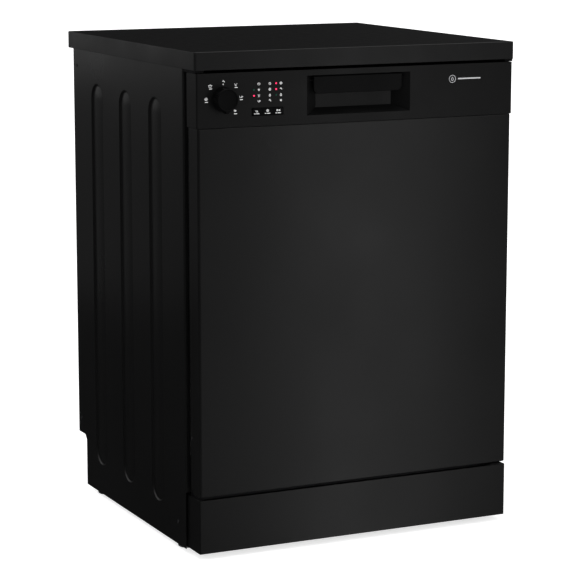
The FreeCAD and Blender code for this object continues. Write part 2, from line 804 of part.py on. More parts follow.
def make_control_panel():
    """The moulded fascia with its hand pocket and the openings for knob, keys and lamps."""
    body = new_body("control_panel")
    wall = d.fascia_wall
    sketch = new_sketch(body, "XZ_Plane", -face)
    draw_rectangle(sketch, both_sides(fascia_half), (d.fascia_bottom, d.fascia_top))
    pad(body, sketch, d.fascia_depth, backwards=True)
    inside = new_sketch(body, "XZ_Plane", -fascia_rear)
    low, high = d.fascia_bottom + wall, d.fascia_top - wall
    draw_rectangle(inside, both_sides(fascia_half - wall), (low, high))
    pocket(body, inside, d.fascia_depth - wall, backwards=True)
    floor = fascia_inside + d.grip_depth
    surround = new_sketch(body, "XZ_Plane", -floor)
    draw_rectangle(
        surround, (d.grip_left - wall, d.grip_right + wall),
        (d.grip_bottom - wall, d.grip_top + wall),
    )
    pad(body, surround, d.grip_depth + 0.5)
    grip = body.newObject("PartDesign::SubtractiveLoft", "grip")
    mouth = new_sketch(body, "XZ_Plane", -face)
    draw_rectangle(mouth, (d.grip_left, d.grip_right), (d.grip_bottom, d.grip_top))
    floor_sketch = new_sketch(body, "XZ_Plane", -face - d.grip_depth)
    draw_rectangle(
        floor_sketch, (d.grip_left + d.grip_slope, d.grip_right - d.grip_slope),
        (d.grip_bottom + d.grip_ledge, d.grip_top),
    )
    grip.Profile = mouth
    grip.Sections = [floor_sketch]
    grip.Ruled = True
    body.Tip = grip
    doc.recompute()
    window = new_sketch(body, "XZ_Plane", -face)
    draw_rectangle(window, (d.key_left, d.key_right), (d.key_bottom, d.key_top))
    pocket(body, window, wall + 1)
    shaft = new_sketch(body, "XZ_Plane", -face)
    draw_circle(shaft, d.knob_side, d.knob_height, d.shaft_radius + 1)
    pocket(body, shaft, wall + 1)
    for x, z in lamp_places():
        lamp = new_sketch(body, "XZ_Plane", -face)
        draw_circle(lamp, x, z, d.lamp_radius + 0.1)
        pocket(body, lamp, wall + 1)
    pins = new_sketch(body, "YZ_Plane", d.grip_left - 10)
    draw_circle(pins, lever_y, lever_z, 1.55)
    pocket(body, pins, d.grip_right - d.grip_left + 20, backwards=True)
    round_edges(body, 2.5, lambda e: upright(e) and e.BoundBox.YMax < float(face) + 0.01
                and abs(abs(e.BoundBox.XMin) - float(fascia_half)) < 0.01)


lever_y = face + 7.5
lever_z = d.grip_top - 8.5


def lamp_places():
    """Two lamps in the first column and three in the second, as (side, height)."""
    first, second = -193.6, -153.5
    return ((first, 785.5), (first, 776), (second, 795), (second, 785.5), (second, 776))


def make_handle_lever():
    """The flap at the top of the hand pocket that releases the latch."""
    left = d.grip_left + 14
    right = d.grip_right - 14
    top = d.grip_top - 2
    low = d.grip_top - 31
    front = face + 3
    plate = block((left, right), (front, front + 3.5), (low, top))
    edge = block((left, right), (front, front + 7), (low, low + 2.5))
    pin = rod("x", (left - 8, right + 8), (lever_y, lever_z), 1.5)
    ribs = [
        block(about(x, 1.5), (front, front + 7), (low, lever_z)) for x in (-60, -20, 20, 60)
    ]
    bead = rod("x", (left, right), (lever_y, lever_z), 3.2)
    named(fuse(plate, edge, pin, bead, *ribs), "handle_lever")


latch_y = face + 34
latch_z = d.tub_top - 3


def make_latch():
    top = d.tub_top + d.collar
    house = block(both_sides(30), (face + 24, liner_face - d.sheet), (772, top - 1))
    hollow = block(both_sides(18), (face + 26, liner_face), (775, top))
    pin = rod("x", (-19, 19), (latch_y, latch_z), 2.5)
    named(fuse(cut(house, hollow), pin), "latch_housing")
    nose_top = top - 4.6
    hook = fuse(
        rod("x", (-5, 5), (latch_y, latch_z), 6),
        block(both_sides(5), (latch_y, latch_y + 17), about(latch_z, 3)),
        block(both_sides(5), (latch_y + 12, latch_y + 17), (latch_z, nose_top)),
        block(both_sides(5), (latch_y - 3, latch_y + 3), (latch_z - 15, latch_z)),
    )
    bore = rod("x", (-6, 6), (latch_y, latch_z), 2.5 + d.pin_clearance)
    named(cut(hook, bore), "latch_hook")


def make_selector_knob():
    """A slightly tapered dial on a shaft, with a pointer groove in its face."""
    centre = (d.knob_side, d.knob_height)
    front = face - d.knob_proud
    shell = cone("y", (front, face - 0.6), centre, (d.knob_front_radius, d.knob_radius))
    dish = cone("y", (front - 0.1, front + 1.4), centre, (16.6, 15.6))
    pointer = block(about(d.knob_side, 0.9), (front - 1, front + 2.2),
                    (d.knob_height + 9, d.knob_height + 22))
    shaft = rod("y", (face - 2, face + 15), centre, d.shaft_radius)
    named(fuse(cut(shell, dish, pointer), shaft), "selector_knob")


def make_control_board():
    """The circuit board with the knob's encoder, the key switches and the lamps' light guides."""
    board_front = face + 18
    board = block((-284, -126), (board_front, board_front + 1.6), (734, 808))
    centre = (d.knob_side, d.knob_height)
    encoder = cut(
        block(about(d.knob_side, 8), (face + 10, board_front), about(d.knob_height, 8)),
        rod("y", (face + 9, board_front - 1), centre, d.shaft_radius + 0.2),
    )
    switches = [
        block(about(x, 3), (board_front - 1.5, board_front), about(749.5, 3))
        for x, _ in key_places()
    ]
    chip = block((-235, -205), (board_front + 1.6, board_front + 4), (744, 764))
    guides = [
        rod("y", (face - 0.3, board_front), spot, d.lamp_radius) for spot in lamp_places()
    ]
    named(fuse(board, encoder, chip, *switches, *guides), "control_board")


def key_places():
    """The middle and the width of each key."""
    return ((-188.6, 16.8), (-169, 19), (-149.8, 17))


def make_keys():
    rim = 0.3
    bar = block(
        (d.key_left, d.key_right), (face - 0.4, face + 3), (d.key_bottom, d.key_top)
    )
    holes = []
    for x, width in key_places():
        span = about(x, width / 2)
        heights = (d.key_bottom + 1, d.key_top - 1)
        holes.append(block(span, (face - 1, face + 4), heights))
    named(cut(bar, *holes), "key_bezel")
    for number, (x, width) in enumerate(key_places(), 1):
        span = (x - width / 2 + rim, x + width / 2 - rim)
        heights = (d.key_bottom + 1 + rim, d.key_top - 1 - rim)
        cap = block(span, (face - 0.4, face + 2.6), heights)
        stem = rod("y", (face + 2, face + 14.8), (x, 749.5), 2)
        named(fuse(cap, stem), f"key_{number}")


def make_dispenser():
    """The detergent cup and rinse-aid tank set into the liner."""
    front = liner_face
    body = fuse(
        block(both_sides(75), (front - 21, front), (399, 531)),
        block(both_sides(80), (front, front + 1.4), (394, 536)),
    )
    hollows = fuse(
        block((-66, 4), (front - 16, front + 2), (412, 482)),
        rod("y", (front - 14, front + 2), (42, 450), 12.5),
    )
    named(cut(body, hollows), "dispenser_body")
    lid = fuse(
        block((-70, 8), (front + 1.8, front + 4.2), (408, 486)),
        block((-50, -12), (front + 4, front + 6), (470, 474)),
    )
    named(lid, "dispenser_lid")
    cap = fuse(
        rod("y", (front + 1.8, front + 6), (42, 450), 18),
        rod("y", (front - 8, front + 2), (42, 450), 12.2),
        block(about(42, 13), (front + 5, front + 9), about(450, 2.5)),
    )
    named(cap, "rinse_aid_cap")


def make_hinge_arms():
    """Steel levers along the door's sides, bored for the hinge pins."""
    start = base_half + d.hinge_plate + 0.5
    plate = block((start, start + d.hinge_plate - 0.5), (door_inside, -254), (hinge_z, 330))
    flange = block((start - 14, start + 1), (door_inside, door_inside + 2.5), (176, 330))
    end = rod("x", (start, start + d.hinge_plate - 0.5), (hinge_y, hinge_z), 13)
    bore = rod("x", (start - 1, start + 5), (hinge_y, hinge_z), d.pin_radius + d.pin_clearance)
    right = cut(fuse(plate, flange, end), bore)
    named(gather(right, mirrored(right)), "hinge_arms")


def make_door_springs():
    """Closed coil springs in the base that balance the door, with the loops at their ends."""
    springs = []
    for side in (-1, 1):
        other = (side * 245, 40)
        coil = cut(rod("y", (-180, -60), other, 8), rod("y", (-181, -59), other, 5.4))
        springs.append(coil)
    named(gather(*springs), "door_springs")


def make_door_screws():
    screws = []
    for side in (-1, 1):
        x = side * door_half
        span = (x - 0.8, x) if side < 0 else (x, x + 0.8)
        screws.append(rod("x", span, (face + 33, 204), 3))
        for z in (160, 300, 440, 580, 720):
            screws.append(rod("y", (liner_face, liner_face + 1.6), (side * 264.5, z), 3.5))
    named(gather(*screws), "door_screws")


# ---- racks ----------------------------------------------------------------------------------

def straight_wire(start, stop, radius):
    """A round bar between two points."""
    first = Vector(*(float(value) for value in start))
    last = Vector(*(float(value) for value in stop))
    return Part.makeCylinder(float(radius), (last - first).Length, first, last - first)


def wire_run(points, radius):
    """The straight bars between the points, each a solid of its own."""
    return [straight_wire(*pair, radius) for pair in zip(points, points[1:])]


def rim_loop(half, y, z, radius):
    """A rectangular loop of wire with cut corners, in one level plane."""
    bend = 24
    low, high = y
    right = [
        (half - bend, low, z), (half, low + bend, z), (half, high - bend, z),
        (half - bend, high, z),
    ]
    left = [(-x, place_y, z) for x, place_y, z in reversed(right)]
    return wire_run([*right, *left, right[0]], radius)


def spread(first, last, count):
    """Evenly spaced places from first to last."""
    return [first + (last - first) * i / (count - 1) for i in range(count)]


def floor_wires(x_places, y_places, front, back, floor, lift, slope, half, rim):
    """Wires along Y, turned up at both ends, and wires across them, turned up at the sides."""
    wires = []
    for x in x_places:
        wires += wire_run([
            (x, front, rim), (x, front, floor + lift), (x, front + slope, floor),
            (x, back - slope, floor), (x, back, floor + lift), (x, back, rim),
        ], d.thin_wire)
    for y in y_places:
        wires += wire_run([
            (-half, y, rim), (-half, y, floor + 8), (-half + 12, y, floor - 3),
            (half - 12, y, floor - 3), (half, y, floor + 8), (half, y, rim),
        ], d.thin_wire)
    return wires


def tine_row(x, y_places, floor, height, lean):
    return [
        straight_wire((x, y, floor), (x, y + lean, floor + height), d.thin_wire)
        for y in y_places
    ]


def make_lower_basket():
    """A wire basket; its floor wires turn up at the front and rear, clear of the door."""
    half, front, back = rack_half, d.rack_front, d.rack_rear
    floor, rim = d.rack_floor, d.rack_rim
    inset = d.wire
    wires = rim_loop(half, (front, back), rim, d.wire)
    wires += rim_loop(half, (front, back), rim - 50, d.thin_wire)
    wires += floor_wires(
        spread(-210, 210, 11), spread(front + 45, back - 40, 8), front + inset, back - inset,
        floor, 18, 26, half - inset, rim,
    )
    for x in (-170, -90):
        wires.append(straight_wire((x, front + 40, floor), (x, back - 30, floor), d.wire))
        wires += tine_row(x, spread(front + 50, back - 40, 12), floor, 72, 6)
    for y in (d.front_wheel, d.rear_wheel):
        for side in (-1, 1):
            inner, outer = side * (half - 4), side * (half + 18)
            wires.append(straight_wire((inner, y, d.wheel_height), (outer, y, d.wheel_height),
                                       d.axle_radius))
            wires.append(straight_wire((inner, y, d.wheel_height), (inner, y, rim - 50), d.wire))
    add_shape("lower_basket", Part.makeCompound(wires))


def make_wheels():
    inner, outer = rack_half + 5, rack_half + 15
    for label, y in (("front_wheels", d.front_wheel), ("rear_wheels", d.rear_wheel)):
        pair = []
        for side in (-1, 1):
            span = (inner, outer) if side > 0 else (-outer, -inner)
            wheel = rod("x", span, (y, d.wheel_height), d.wheel_radius)
            bore_span = (span[0] - 1, span[1] + 1)
            bore = rod("x", bore_span, (y, d.wheel_height), d.axle_radius + d.pin_clearance)
            pair.append(cut(wheel, bore))
        named(gather(*pair), label)


def make_fold_tines():
    """A row of plate tines on a rod that folds them down to the right."""
    height = d.rack_floor + 12
    wires = [straight_wire((-10, d.rack_front + 45, height), (-10, d.rack_rear - 35, height), 2)]
    for y in spread(d.rack_front + 62, d.rack_rear - 52, 10):
        wires.append(straight_wire((-10, y, height), (-10, y, height + 68), d.thin_wire))
    add_shape("fold_tines", Part.makeCompound(wires))


def make_cutlery_basket():
    """An open plastic box with cells, standing on the floor of the lower basket."""
    left, right, front, back = 112, 232, -140, 90
    low = d.rack_floor + d.thin_wire + 0.4
    high = low + 112
    outer = block((left, right), (front, back), (low, high))
    columns = [(left + 2.5, 170.5), (173.5, right - 2.5)]
    rows = [(front + 2.5 + 56.5 * i, front + 56 + 56.5 * i) for i in range(4)]
    cells = [block(x, y, (low + 2.5, high + 1)) for x in columns for y in rows]
    posts = [block(about(172, 4), about(y, 5), (high - 1, high + 40)) for y in (-80, 32)]
    bar = block(about(172, 6), (-85, 37), (high + 38, high + 46))
    named(fuse(cut(outer, *cells), bar, *posts), "cutlery_basket")


def make_upper_basket():
    half, front, back = rack_half - 6, d.top_rack_front, d.rack_rear
    floor, rim = d.top_rack_floor, d.top_rack_rim
    inset = d.wire
    wires = rim_loop(half, (front, back), rim, d.wire)
    wires += rim_loop(half, (front, back), rim - 45, d.thin_wire)
    wires += floor_wires(
        spread(-205, 205, 11), spread(front + 45, back - 45, 8), front + inset, back - inset,
        floor, 12, 22, half - inset, rim,
    )
    for x in (-60, 60):
        wires += tine_row(x, spread(front + 50, back - 50, 11), floor, 60, 0)
    add_shape("upper_basket", Part.makeCompound(wires))


def make_runners():
    """The rails between the guides and the upper basket."""
    bar = block((rack_half - 1.5, tub_half - 10.8), (-204, 244), about(d.runner_height, 7.5))
    tongue = block((tub_half - 11, tub_half - 7.4), (-204, 244), about(d.runner_height, 8.2))
    right = fuse(bar, tongue)
    named(gather(right, mirrored(right)), "basket_runners")


def make_upper_feed():
    """The tube under the upper basket that carries water to its arm."""
    height = d.top_rack_floor - 26
    middle = (0, d.arm_middle)
    back = d.tub_rear - 38
    solid = fuse(
        rod("y", (d.arm_middle, back), (0, height), 8),
        rod("z", (height - 10, d.top_rack_floor - 5), middle, 14),
        rod("z", (height - 26, height), middle, 9),
        rod("z", (height - 28, height - 25), middle, 12),
    )
    bore = rod("y", (d.arm_middle + 20, back + 1), (0, height), 5)
    named(cut(solid, bore), "upper_feed_tube")


def make_upper_arm():
    height = d.top_rack_floor - 26
    hub_span = (height - 24.7, height - 10.4)
    span = (height - 21, height - 11)
    bore_span = (hub_span[0] - 1, hub_span[1] + 1)
    bore = 9 + d.pin_clearance
    arm = spray_arm((0, d.arm_middle), span, hub_span, bore_span, bore, False)
    add_shape("upper_spray_arm", arm)


def make_cup_shelves():
    """Wire shelves that fold up against the basket's sides."""
    hinge_x = rack_half - 20
    height = d.top_rack_rim - 36
    y = (d.top_rack_front + 60, d.rack_rear - 60)
    wires = [straight_wire((hinge_x, y[0] - 8, height), (hinge_x, y[1] + 8, height), 2.2)]
    wires += wire_run([
        (hinge_x, y[0], height), (hinge_x - 80, y[0], height), (hinge_x - 80, y[1], height),
        (hinge_x, y[1], height),
    ], 2.2)
    for place_ in spread(y[0] + 30, y[1] - 30, 8):
        wires.append(straight_wire((hinge_x, place_, height), (hinge_x - 80, place_, height), 1.6))
    right = add_shape("cup_shelf_right", Part.makeCompound(wires))
    named(mirrored(right), "cup_shelf_left")


def build():
    for make in (
        make_worktop, make_side_panels, make_rear_panel, make_plinth, make_base_tray, make_feet,
        make_tub, make_door_seal, make_sump, make_filters, make_salt_supply, make_pumps,
        make_rear_services, make_inlet_chamber, make_spray_feed, make_lower_arm,
        make_hinge_brackets, make_runner_guides, make_door_strike, make_cabinet_screws,
        make_outer_door_panel, make_inner_door_panel, make_control_panel,
        make_handle_lever, make_latch, make_selector_knob, make_control_board, make_keys,
        make_dispenser, make_hinge_arms, make_door_springs, make_door_screws,
        make_lower_basket, make_wheels, make_fold_tines, make_cutlery_basket, make_upper_basket,
        make_runners, make_upper_feed, make_upper_arm, make_cup_shelves,
    ):
        make()
    doc.recompute()


def check_and_write():
    """Stop at any failed object, then write each piece to its own file."""
    for item in doc.Objects:
        if "Invalid" in item.State or "Error" in item.State:
            raise RuntimeError(f"{item.Label} failed: {item.State}")
    os.makedirs("parts", exist_ok=True)
    for solid in nodes:
        shape = solid.Shape
        if shape.isNull() or not shape.isValid() or not shape.Solids:
            raise RuntimeError(f"{solid.Label} has no valid solid")
        shape.exportStep(f"parts/{solid.Label}.step")
    print(len(nodes), "pieces")


build()
check_and_write()
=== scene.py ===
"""Looks for the free-standing black dishwasher: everything is in metres, in the CAD's own frame."""
import json
from math import copysign, cos, pi, radians, sin, sqrt, tan

import bmesh
import bpy
from mathutils import Matrix, Vector

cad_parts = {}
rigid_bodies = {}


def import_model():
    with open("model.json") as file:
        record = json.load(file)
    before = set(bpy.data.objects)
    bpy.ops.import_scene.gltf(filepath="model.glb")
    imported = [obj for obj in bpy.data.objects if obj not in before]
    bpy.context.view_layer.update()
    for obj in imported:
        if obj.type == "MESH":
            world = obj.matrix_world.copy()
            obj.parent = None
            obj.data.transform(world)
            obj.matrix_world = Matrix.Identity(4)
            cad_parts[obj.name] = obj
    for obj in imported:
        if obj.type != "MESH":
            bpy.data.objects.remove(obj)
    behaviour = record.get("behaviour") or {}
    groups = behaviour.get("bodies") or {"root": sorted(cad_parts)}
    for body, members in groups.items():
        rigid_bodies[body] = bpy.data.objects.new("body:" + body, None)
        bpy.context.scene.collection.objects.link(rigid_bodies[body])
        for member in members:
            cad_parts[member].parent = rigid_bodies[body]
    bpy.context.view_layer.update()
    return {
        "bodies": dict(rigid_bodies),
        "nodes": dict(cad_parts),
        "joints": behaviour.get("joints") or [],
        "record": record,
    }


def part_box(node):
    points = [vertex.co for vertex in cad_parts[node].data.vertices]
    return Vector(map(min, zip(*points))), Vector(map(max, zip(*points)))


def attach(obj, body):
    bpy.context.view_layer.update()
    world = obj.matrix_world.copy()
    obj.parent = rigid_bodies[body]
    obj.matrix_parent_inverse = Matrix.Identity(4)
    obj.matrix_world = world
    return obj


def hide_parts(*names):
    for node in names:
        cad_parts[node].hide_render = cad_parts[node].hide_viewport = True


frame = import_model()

NODES = frame["nodes"]
MM = 0.001


# ---- materials ------------------------------------------------------------------------------

def link(tree, start, end):
    tree.links.new(start, end)


def add_node(tree, kind, **inputs):
    """A shader node with its input values: a name has _ where the socket's has a space."""
    node = tree.nodes.new("ShaderNode" + kind)
    for name, value in inputs.items():
        node.inputs[name.replace("_", " ")].default_value = value
    return node


def object_coordinates(tree, stretch=(1, 1, 1)):
    mapping = add_node(tree, "Mapping", Scale=stretch)
    link(tree, add_node(tree, "TexCoord").outputs["Object"], mapping.inputs["Vector"])
    return mapping.outputs["Vector"]


def noise(tree, vector, scale, detail):
    texture = add_node(tree, "TexNoise", Scale=scale, Detail=detail)
    link(tree, vector, texture.inputs["Vector"])
    return texture.outputs["Fac"]


def spread_noise(tree, vector, scale, detail, low, high):
    """Noise whose middle fills the span low..high."""
    node = add_node(tree, "MapRange", From_Min=0.3, From_Max=0.7, To_Min=low, To_Max=high)
    link(tree, noise(tree, vector, scale, detail), node.inputs["Value"])
    return node.outputs["Result"]


def surface(name, colour, gloss, tone, relief, metallic=0.0, specular=0.5, stretch=(1, 1, 1)):
    """A finish that varies over the piece, each part by its own noise (scale, detail).

    gloss ends with the lowest and highest roughness, tone with two factors on the colour, and
    relief with the bump's strength and distance.
    """
    material = bpy.data.materials.new(name)
    material.use_nodes = True
    material.diffuse_color = (*colour, 1)
    tree = material.node_tree
    shader = tree.nodes["Principled BSDF"]
    shader.inputs["Metallic"].default_value = metallic
    shader.inputs["Specular IOR Level"].default_value = specular
    vector = object_coordinates(tree, stretch)
    link(tree, spread_noise(tree, vector, *gloss), shader.inputs["Roughness"])
    mix = tree.nodes.new("ShaderNodeMix")
    mix.data_type = "RGBA"
    for socket, factor in zip("AB", tone[2:]):
        mix.inputs[socket].default_value = (*(c * factor for c in colour), 1)
    link(tree, spread_noise(tree, vector, *tone[:2], 0, 1), mix.inputs["Factor"])
    link(tree, mix.outputs["Result"], shader.inputs["Base Color"])
    bump = add_node(tree, "Bump", Strength=relief[2], Distance=relief[3])
    link(tree, noise(tree, vector, *relief[:2]), bump.inputs["Height"])
    link(tree, bump.outputs["Normal"], shader.inputs["Normal"])
    return material


def painted_steel(name, colour, rough):
    """Satin enamel on pressed sheet: faint orange peel and slow changes of gloss."""
    return surface(name, colour, (5, 3, rough - 0.03, rough + 0.04), (3, 2, 1, 1.25),
                   (900, 2, 0.06, 0.0004))


def moulded_plastic(name, colour, rough, depth=0.12, specular=0.5):
    """Moulded plastic with a fine spark-eroded grain."""
    return surface(name, colour, (12, 4, rough - 0.04, rough + 0.05), (40, 3, 1, 1.2),
                   (1400, 2, depth, 0.0002), specular=specular)


def laminate(name, colour):
    """Black laminate with a faintly pebbled press-plate texture."""
    return surface(name, colour, (60, 5, 0.4, 0.46), (500, 4, 1, 1.6), (650, 5, 0.12, 0.0002),
                   specular=0.06)


def brushed_metal(name, colour, rough, stretch, metallic=0.62):
    """Metal with brush lines along one axis: the axis with the small stretch."""
    return surface(name, colour, (1500, 2, rough - 0.02, rough + 0.03), (1500, 2, 0.965, 1),
                   (1500, 2, 0.03, 0.00006), metallic, stretch=stretch)


def rubber(name, colour):
    return surface(name, colour, (30, 4, 0.58, 0.75), (80, 4, 1, 1.5), (1000, 3, 0.3, 0.0003))


MATERIALS = {
    "worktop_laminate": laminate("worktop_laminate", (0.0022, 0.0022, 0.0023)),
    "black_sheet": painted_steel("black_sheet", (0.0012, 0.0012, 0.00125), 0.3),
    "black_panel": moulded_plastic("black_panel", (0.0015, 0.0015, 0.00155), 0.38, specular=0.34),
    "galvanised_sheet": brushed_metal("galvanised_sheet", (0.5, 0.51, 0.53), 0.38, (1, 1, 0.2)),
    "base_plastic": moulded_plastic("base_plastic", (0.022, 0.022, 0.024), 0.5),
    "stainless": brushed_metal("stainless", (0.6, 0.6, 0.59), 0.28, (0.02, 1, 1)),
    "seal_rubber": rubber("seal_rubber", (0.03, 0.03, 0.033)),
    "grey_plastic": moulded_plastic("grey_plastic", (0.3, 0.31, 0.33), 0.42),
    "cap_plastic": moulded_plastic("cap_plastic", (0.05, 0.14, 0.3), 0.4),
    "clear_plastic": moulded_plastic("clear_plastic", (0.6, 0.63, 0.63), 0.3),
    "pump_metal": brushed_metal("pump_metal", (0.45, 0.45, 0.45), 0.45, (1, 1, 1)),
    "white_plastic": moulded_plastic("white_plastic", (0.7, 0.7, 0.68), 0.4),
    "gland_rubber": rubber("gland_rubber", (0.012, 0.012, 0.012)),
    "knob_plastic": moulded_plastic("knob_plastic", (0.0012, 0.0012, 0.0013), 0.42, specular=0.12),
    "key_gloss": moulded_plastic("key_gloss", (0.001, 0.001, 0.0011), 0.22, depth=0.02,
                                 specular=0.12),
    "board": moulded_plastic("board", (0.015, 0.09, 0.035), 0.45),
    "coated_wire": moulded_plastic("coated_wire", (0.28, 0.29, 0.31), 0.35),
    "runner_steel": brushed_metal("runner_steel", (0.6, 0.6, 0.6), 0.3, (1, 0.02, 1)),
}
FLAP = moulded_plastic("flap_plastic", (0.0011, 0.0011, 0.0012), 0.4, specular=0.15)
EDGING = moulded_plastic("edging", (0.0028, 0.0028, 0.0029), 0.34, specular=0.4)
DARK_STEEL = brushed_metal("dark_steel", (0.012, 0.012, 0.013), 0.45, (1, 1, 1), 0.2)
PRINT_WHITE = moulded_plastic("print_white", (0.75, 0.75, 0.75), 0.5, depth=0.02)
PRINT_GREY = moulded_plastic("print_grey", (0.42, 0.42, 0.43), 0.45, depth=0.02)


def lamp_glow(name, colour, strength):
    """A lens with light behind it, glowing evenly over its face."""
    material = moulded_plastic(name, colour, 0.25)
    shader = material.node_tree.nodes["Principled BSDF"]
    shader.inputs["Emission Color"].default_value = (*colour, 1)
    shader.inputs["Emission Strength"].default_value = strength
    return material


def perforated(name):
    """Stainless sheet with rows of fine round holes, drawn as dark dots: the holes are real, and
    their near-black is painted shade for the dark seen through each.
    """
    material = brushed_metal(name, (0.6, 0.6, 0.59), 0.3, (0.02, 1, 1))
    tree = material.node_tree
    cells = add_node(tree, "TexVoronoi", Scale=420, Randomness=0)
    link(tree, object_coordinates(tree), cells.inputs["Vector"])
    hole = add_node(tree, "MapRange", From_Min=0.3, From_Max=0.38)
    link(tree, cells.outputs["Distance"], hole.inputs["Value"])
    base = tree.nodes["Principled BSDF"].inputs["Base Color"]
    # Painted shade: the hole dots get a near-black colour in place of the dark depth of real holes.
    shade = tree.nodes.new("ShaderNodeMix")
    shade.data_type = "RGBA"
    shade.inputs["A"].default_value = (0.02, 0.02, 0.02, 1)
    link(tree, hole.outputs["Result"], shade.inputs["Factor"])
    link(tree, base.links[0].from_socket, shade.inputs["B"])
    link(tree, shade.outputs["Result"], base)
    return material


PERFORATED = perforated("perforated_steel")
LAMP_RED = lamp_glow("lamp_red", (0.75, 0.02, 0.09), 1.6)
LAMP_GREEN = lamp_glow("lamp_green", (0.004, 0.05, 0.028), 0.05)


# ---- CAD nodes that stay --------------------------------------------------------------------

def soften(item, radius):
    """Round every sharp edge of a piece by that radius."""
    flat = item.modifiers.new("join_flats", "DECIMATE")
    flat.decimate_type = "DISSOLVE"
    flat.angle_limit = radians(1)
    soft = item.modifiers.new("soft_edges", "BEVEL")
    soft.width = radius
    soft.segments = 3
    soft.limit_method = "ANGLE"
    soft.angle_limit = radians(35)
    soft.harden_normals = True
    item.modifiers.new("even_normals", "WEIGHTED_NORMAL").keep_sharp = True


def dress(name, material, edge=0.0):
    """Give a CAD node its finish and, where edge isn't 0, rounded edges of that radius."""
    node = NODES[name]
    node.data.materials.clear()
    node.data.materials.append(material)
    if edge:
        soften(node, edge)


slots = {part["node"]: part["material_slot"] for part in frame["record"]["subparts"]}
SOFT_EDGES = {"control_panel": 0.9 * MM, "plinth": 0.5 * MM}
for node_name in NODES:
    dress(node_name, MATERIALS[slots[node_name]], SOFT_EDGES.get(node_name, 0))
for node_name in ("cabinet_screws", "door_screws", "hinge_brackets"):
    dress(node_name, DARK_STEEL)


# ---- mesh tools: pieces are drawn in millimetres and scaled once ------------------------------

def add_object(name, data, body, slot, material=None):
    """Put a mesh into the scene, with its finish, on its body."""
    data.materials.append(material or MATERIALS[slot])
    item = bpy.data.objects.new(name, data)
    bpy.context.scene.collection.objects.link(item)
    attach(item, body)
    return item


def finish_mesh(name, bm, body, slot, material=None, stands_for=(), sheet=0.0, edge=0.0, sharp=35,
                solid=False):
    """Turn a bmesh in millimetres into a shaded piece: sheet is its thickness, if it is a skin."""
    if solid:
        bmesh.ops.recalc_face_normals(bm, faces=bm.faces)
    bmesh.ops.remove_doubles(bm, verts=bm.verts, dist=0.01)
    bmesh.ops.transform(bm, matrix=Matrix.Scale(MM, 4), verts=bm.verts)
    mesh = bpy.data.meshes.new(name)
    bm.to_mesh(mesh)
    bm.free()
    mesh.shade_smooth()
    mesh.set_sharp_from_angle(angle=radians(sharp))
    item = add_object(name, mesh, body, slot, material)
    if sheet:
        skin = item.modifiers.new("sheet", "SOLIDIFY")
        skin.thickness = sheet * MM
        skin.offset = -1
    if edge:
        soften(item, edge * MM)
    else:
        item.modifiers.new("even_normals", "WEIGHTED_NORMAL").keep_sharp = True
    if stands_for:
        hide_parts(*stands_for)
    return item


def loft(bm, rings, closed=True, ends=(False, False)):
    """Join rings of points, which all have the same count, with faces."""
    rows = [[bm.verts.new(point) for point in ring] for ring in rings]
    count = len(rows[0])
    for low, high in zip(rows, rows[1:]):
        for i in range(count if closed else count - 1):
            j = (i + 1) % count
            bm.faces.new((low[i], low[j], high[j], high[i]))
    if ends[0]:
        bm.faces.new(rows[0][::-1])
    if ends[1]:
        bm.faces.new(rows[-1])
    return rows


def arc(centre, radius, start=0, stop=360, steps=16):
    turn = [radians(start + (stop - start) * i / steps) for i in range(steps + 1)]
    return [(centre[0] + radius * cos(a), centre[1] + radius * sin(a)) for a in turn]


def circle(centre, radius, count):
    return arc(centre, radius, steps=count)[:-1]


def turned(bm, profile, centre, axis="y", count=48, ends=(True, True)):
    """Turn a profile of (radius, place along the axis) round the axis through centre."""
    rings = [
        [{"x": (along, u, v), "y": (u, along, v), "z": (u, v, along)}[axis]
         for u, v in circle(centre, radius, count)] for radius, along in profile
    ]
    loft(bm, rings, ends=ends)


def block(bm, x, y, z):
    corners = [(x[i], y[j], z[k]) for i in (0, 1) for j in (0, 1) for k in (0, 1)]
    v = [bm.verts.new(corner) for corner in corners]
    for face in ((0, 1, 3, 2), (4, 6, 7, 5), (0, 4, 5, 1), (2, 3, 7, 6), (0, 2, 6, 4), (1, 5, 7,
                                                                                        3)):
        bm.faces.new([v[i] for i in face])


def round_corners(points, radii, steps=6):
    """A closed flat outline with its corners rounded: radii is one number or one a corner."""
    count = len(points)
    if not isinstance(radii, (list, tuple)):
        radii = [radii] * count
    outline = []
    for i, (corner, radius) in enumerate(zip(points, radii)):
        if radius <= 0:
            outline.append(tuple(corner))
            continue
        here = Vector(corner)
        back = (Vector(points[i - 1]) - here).normalized()
        onward = (Vector(points[(i + 1) % count]) - here).normalized()
        half = back.angle(onward) / 2
        reach = radius / tan(half)
        start, stop = here + back * reach, here + onward * reach
        centre = here + (back + onward).normalized() * (radius / sin(half))
        for step in range(steps + 1):
            spoke = (start - centre).slerp(stop - centre, step / steps) if half < 1.5 else (
                (start - centre).lerp(stop - centre, step / steps))
            outline.append(tuple(centre + spoke.normalized() * radius))
    return outline


def rectangle(u, v):
    return [(u[0], v[0]), (u[1], v[0]), (u[1], v[1]), (u[0], v[1])]


def rounded(u, v, radii):
    return round_corners(rectangle(u, v), radii)


def stadium(u, low, high, radius, steps=14):
    """An upright slot outline: two half circles of one radius about (u, low) and (u, high)."""
    top = [(u + radius * cos(pi * i / steps), high + radius * sin(pi * i / steps))
           for i in range(steps + 1)]
    foot = [(u - radius * cos(pi * i / steps), low - radius * sin(pi * i / steps))
            for i in range(steps + 1)]
    return top + foot


def flat_with_holes(bm, outline, holes):
    """Fill a flat outline round its holes. All are lists of points in space."""
    edges = []
    for loop in (outline, *holes):
        verts = [bm.verts.new(point) for point in loop]
        edges += [bm.edges.new((a, b)) for a, b in zip(verts, verts[1:] + verts[:1])]
    bmesh.ops.triangle_fill(bm, use_beauty=True, edges=edges)


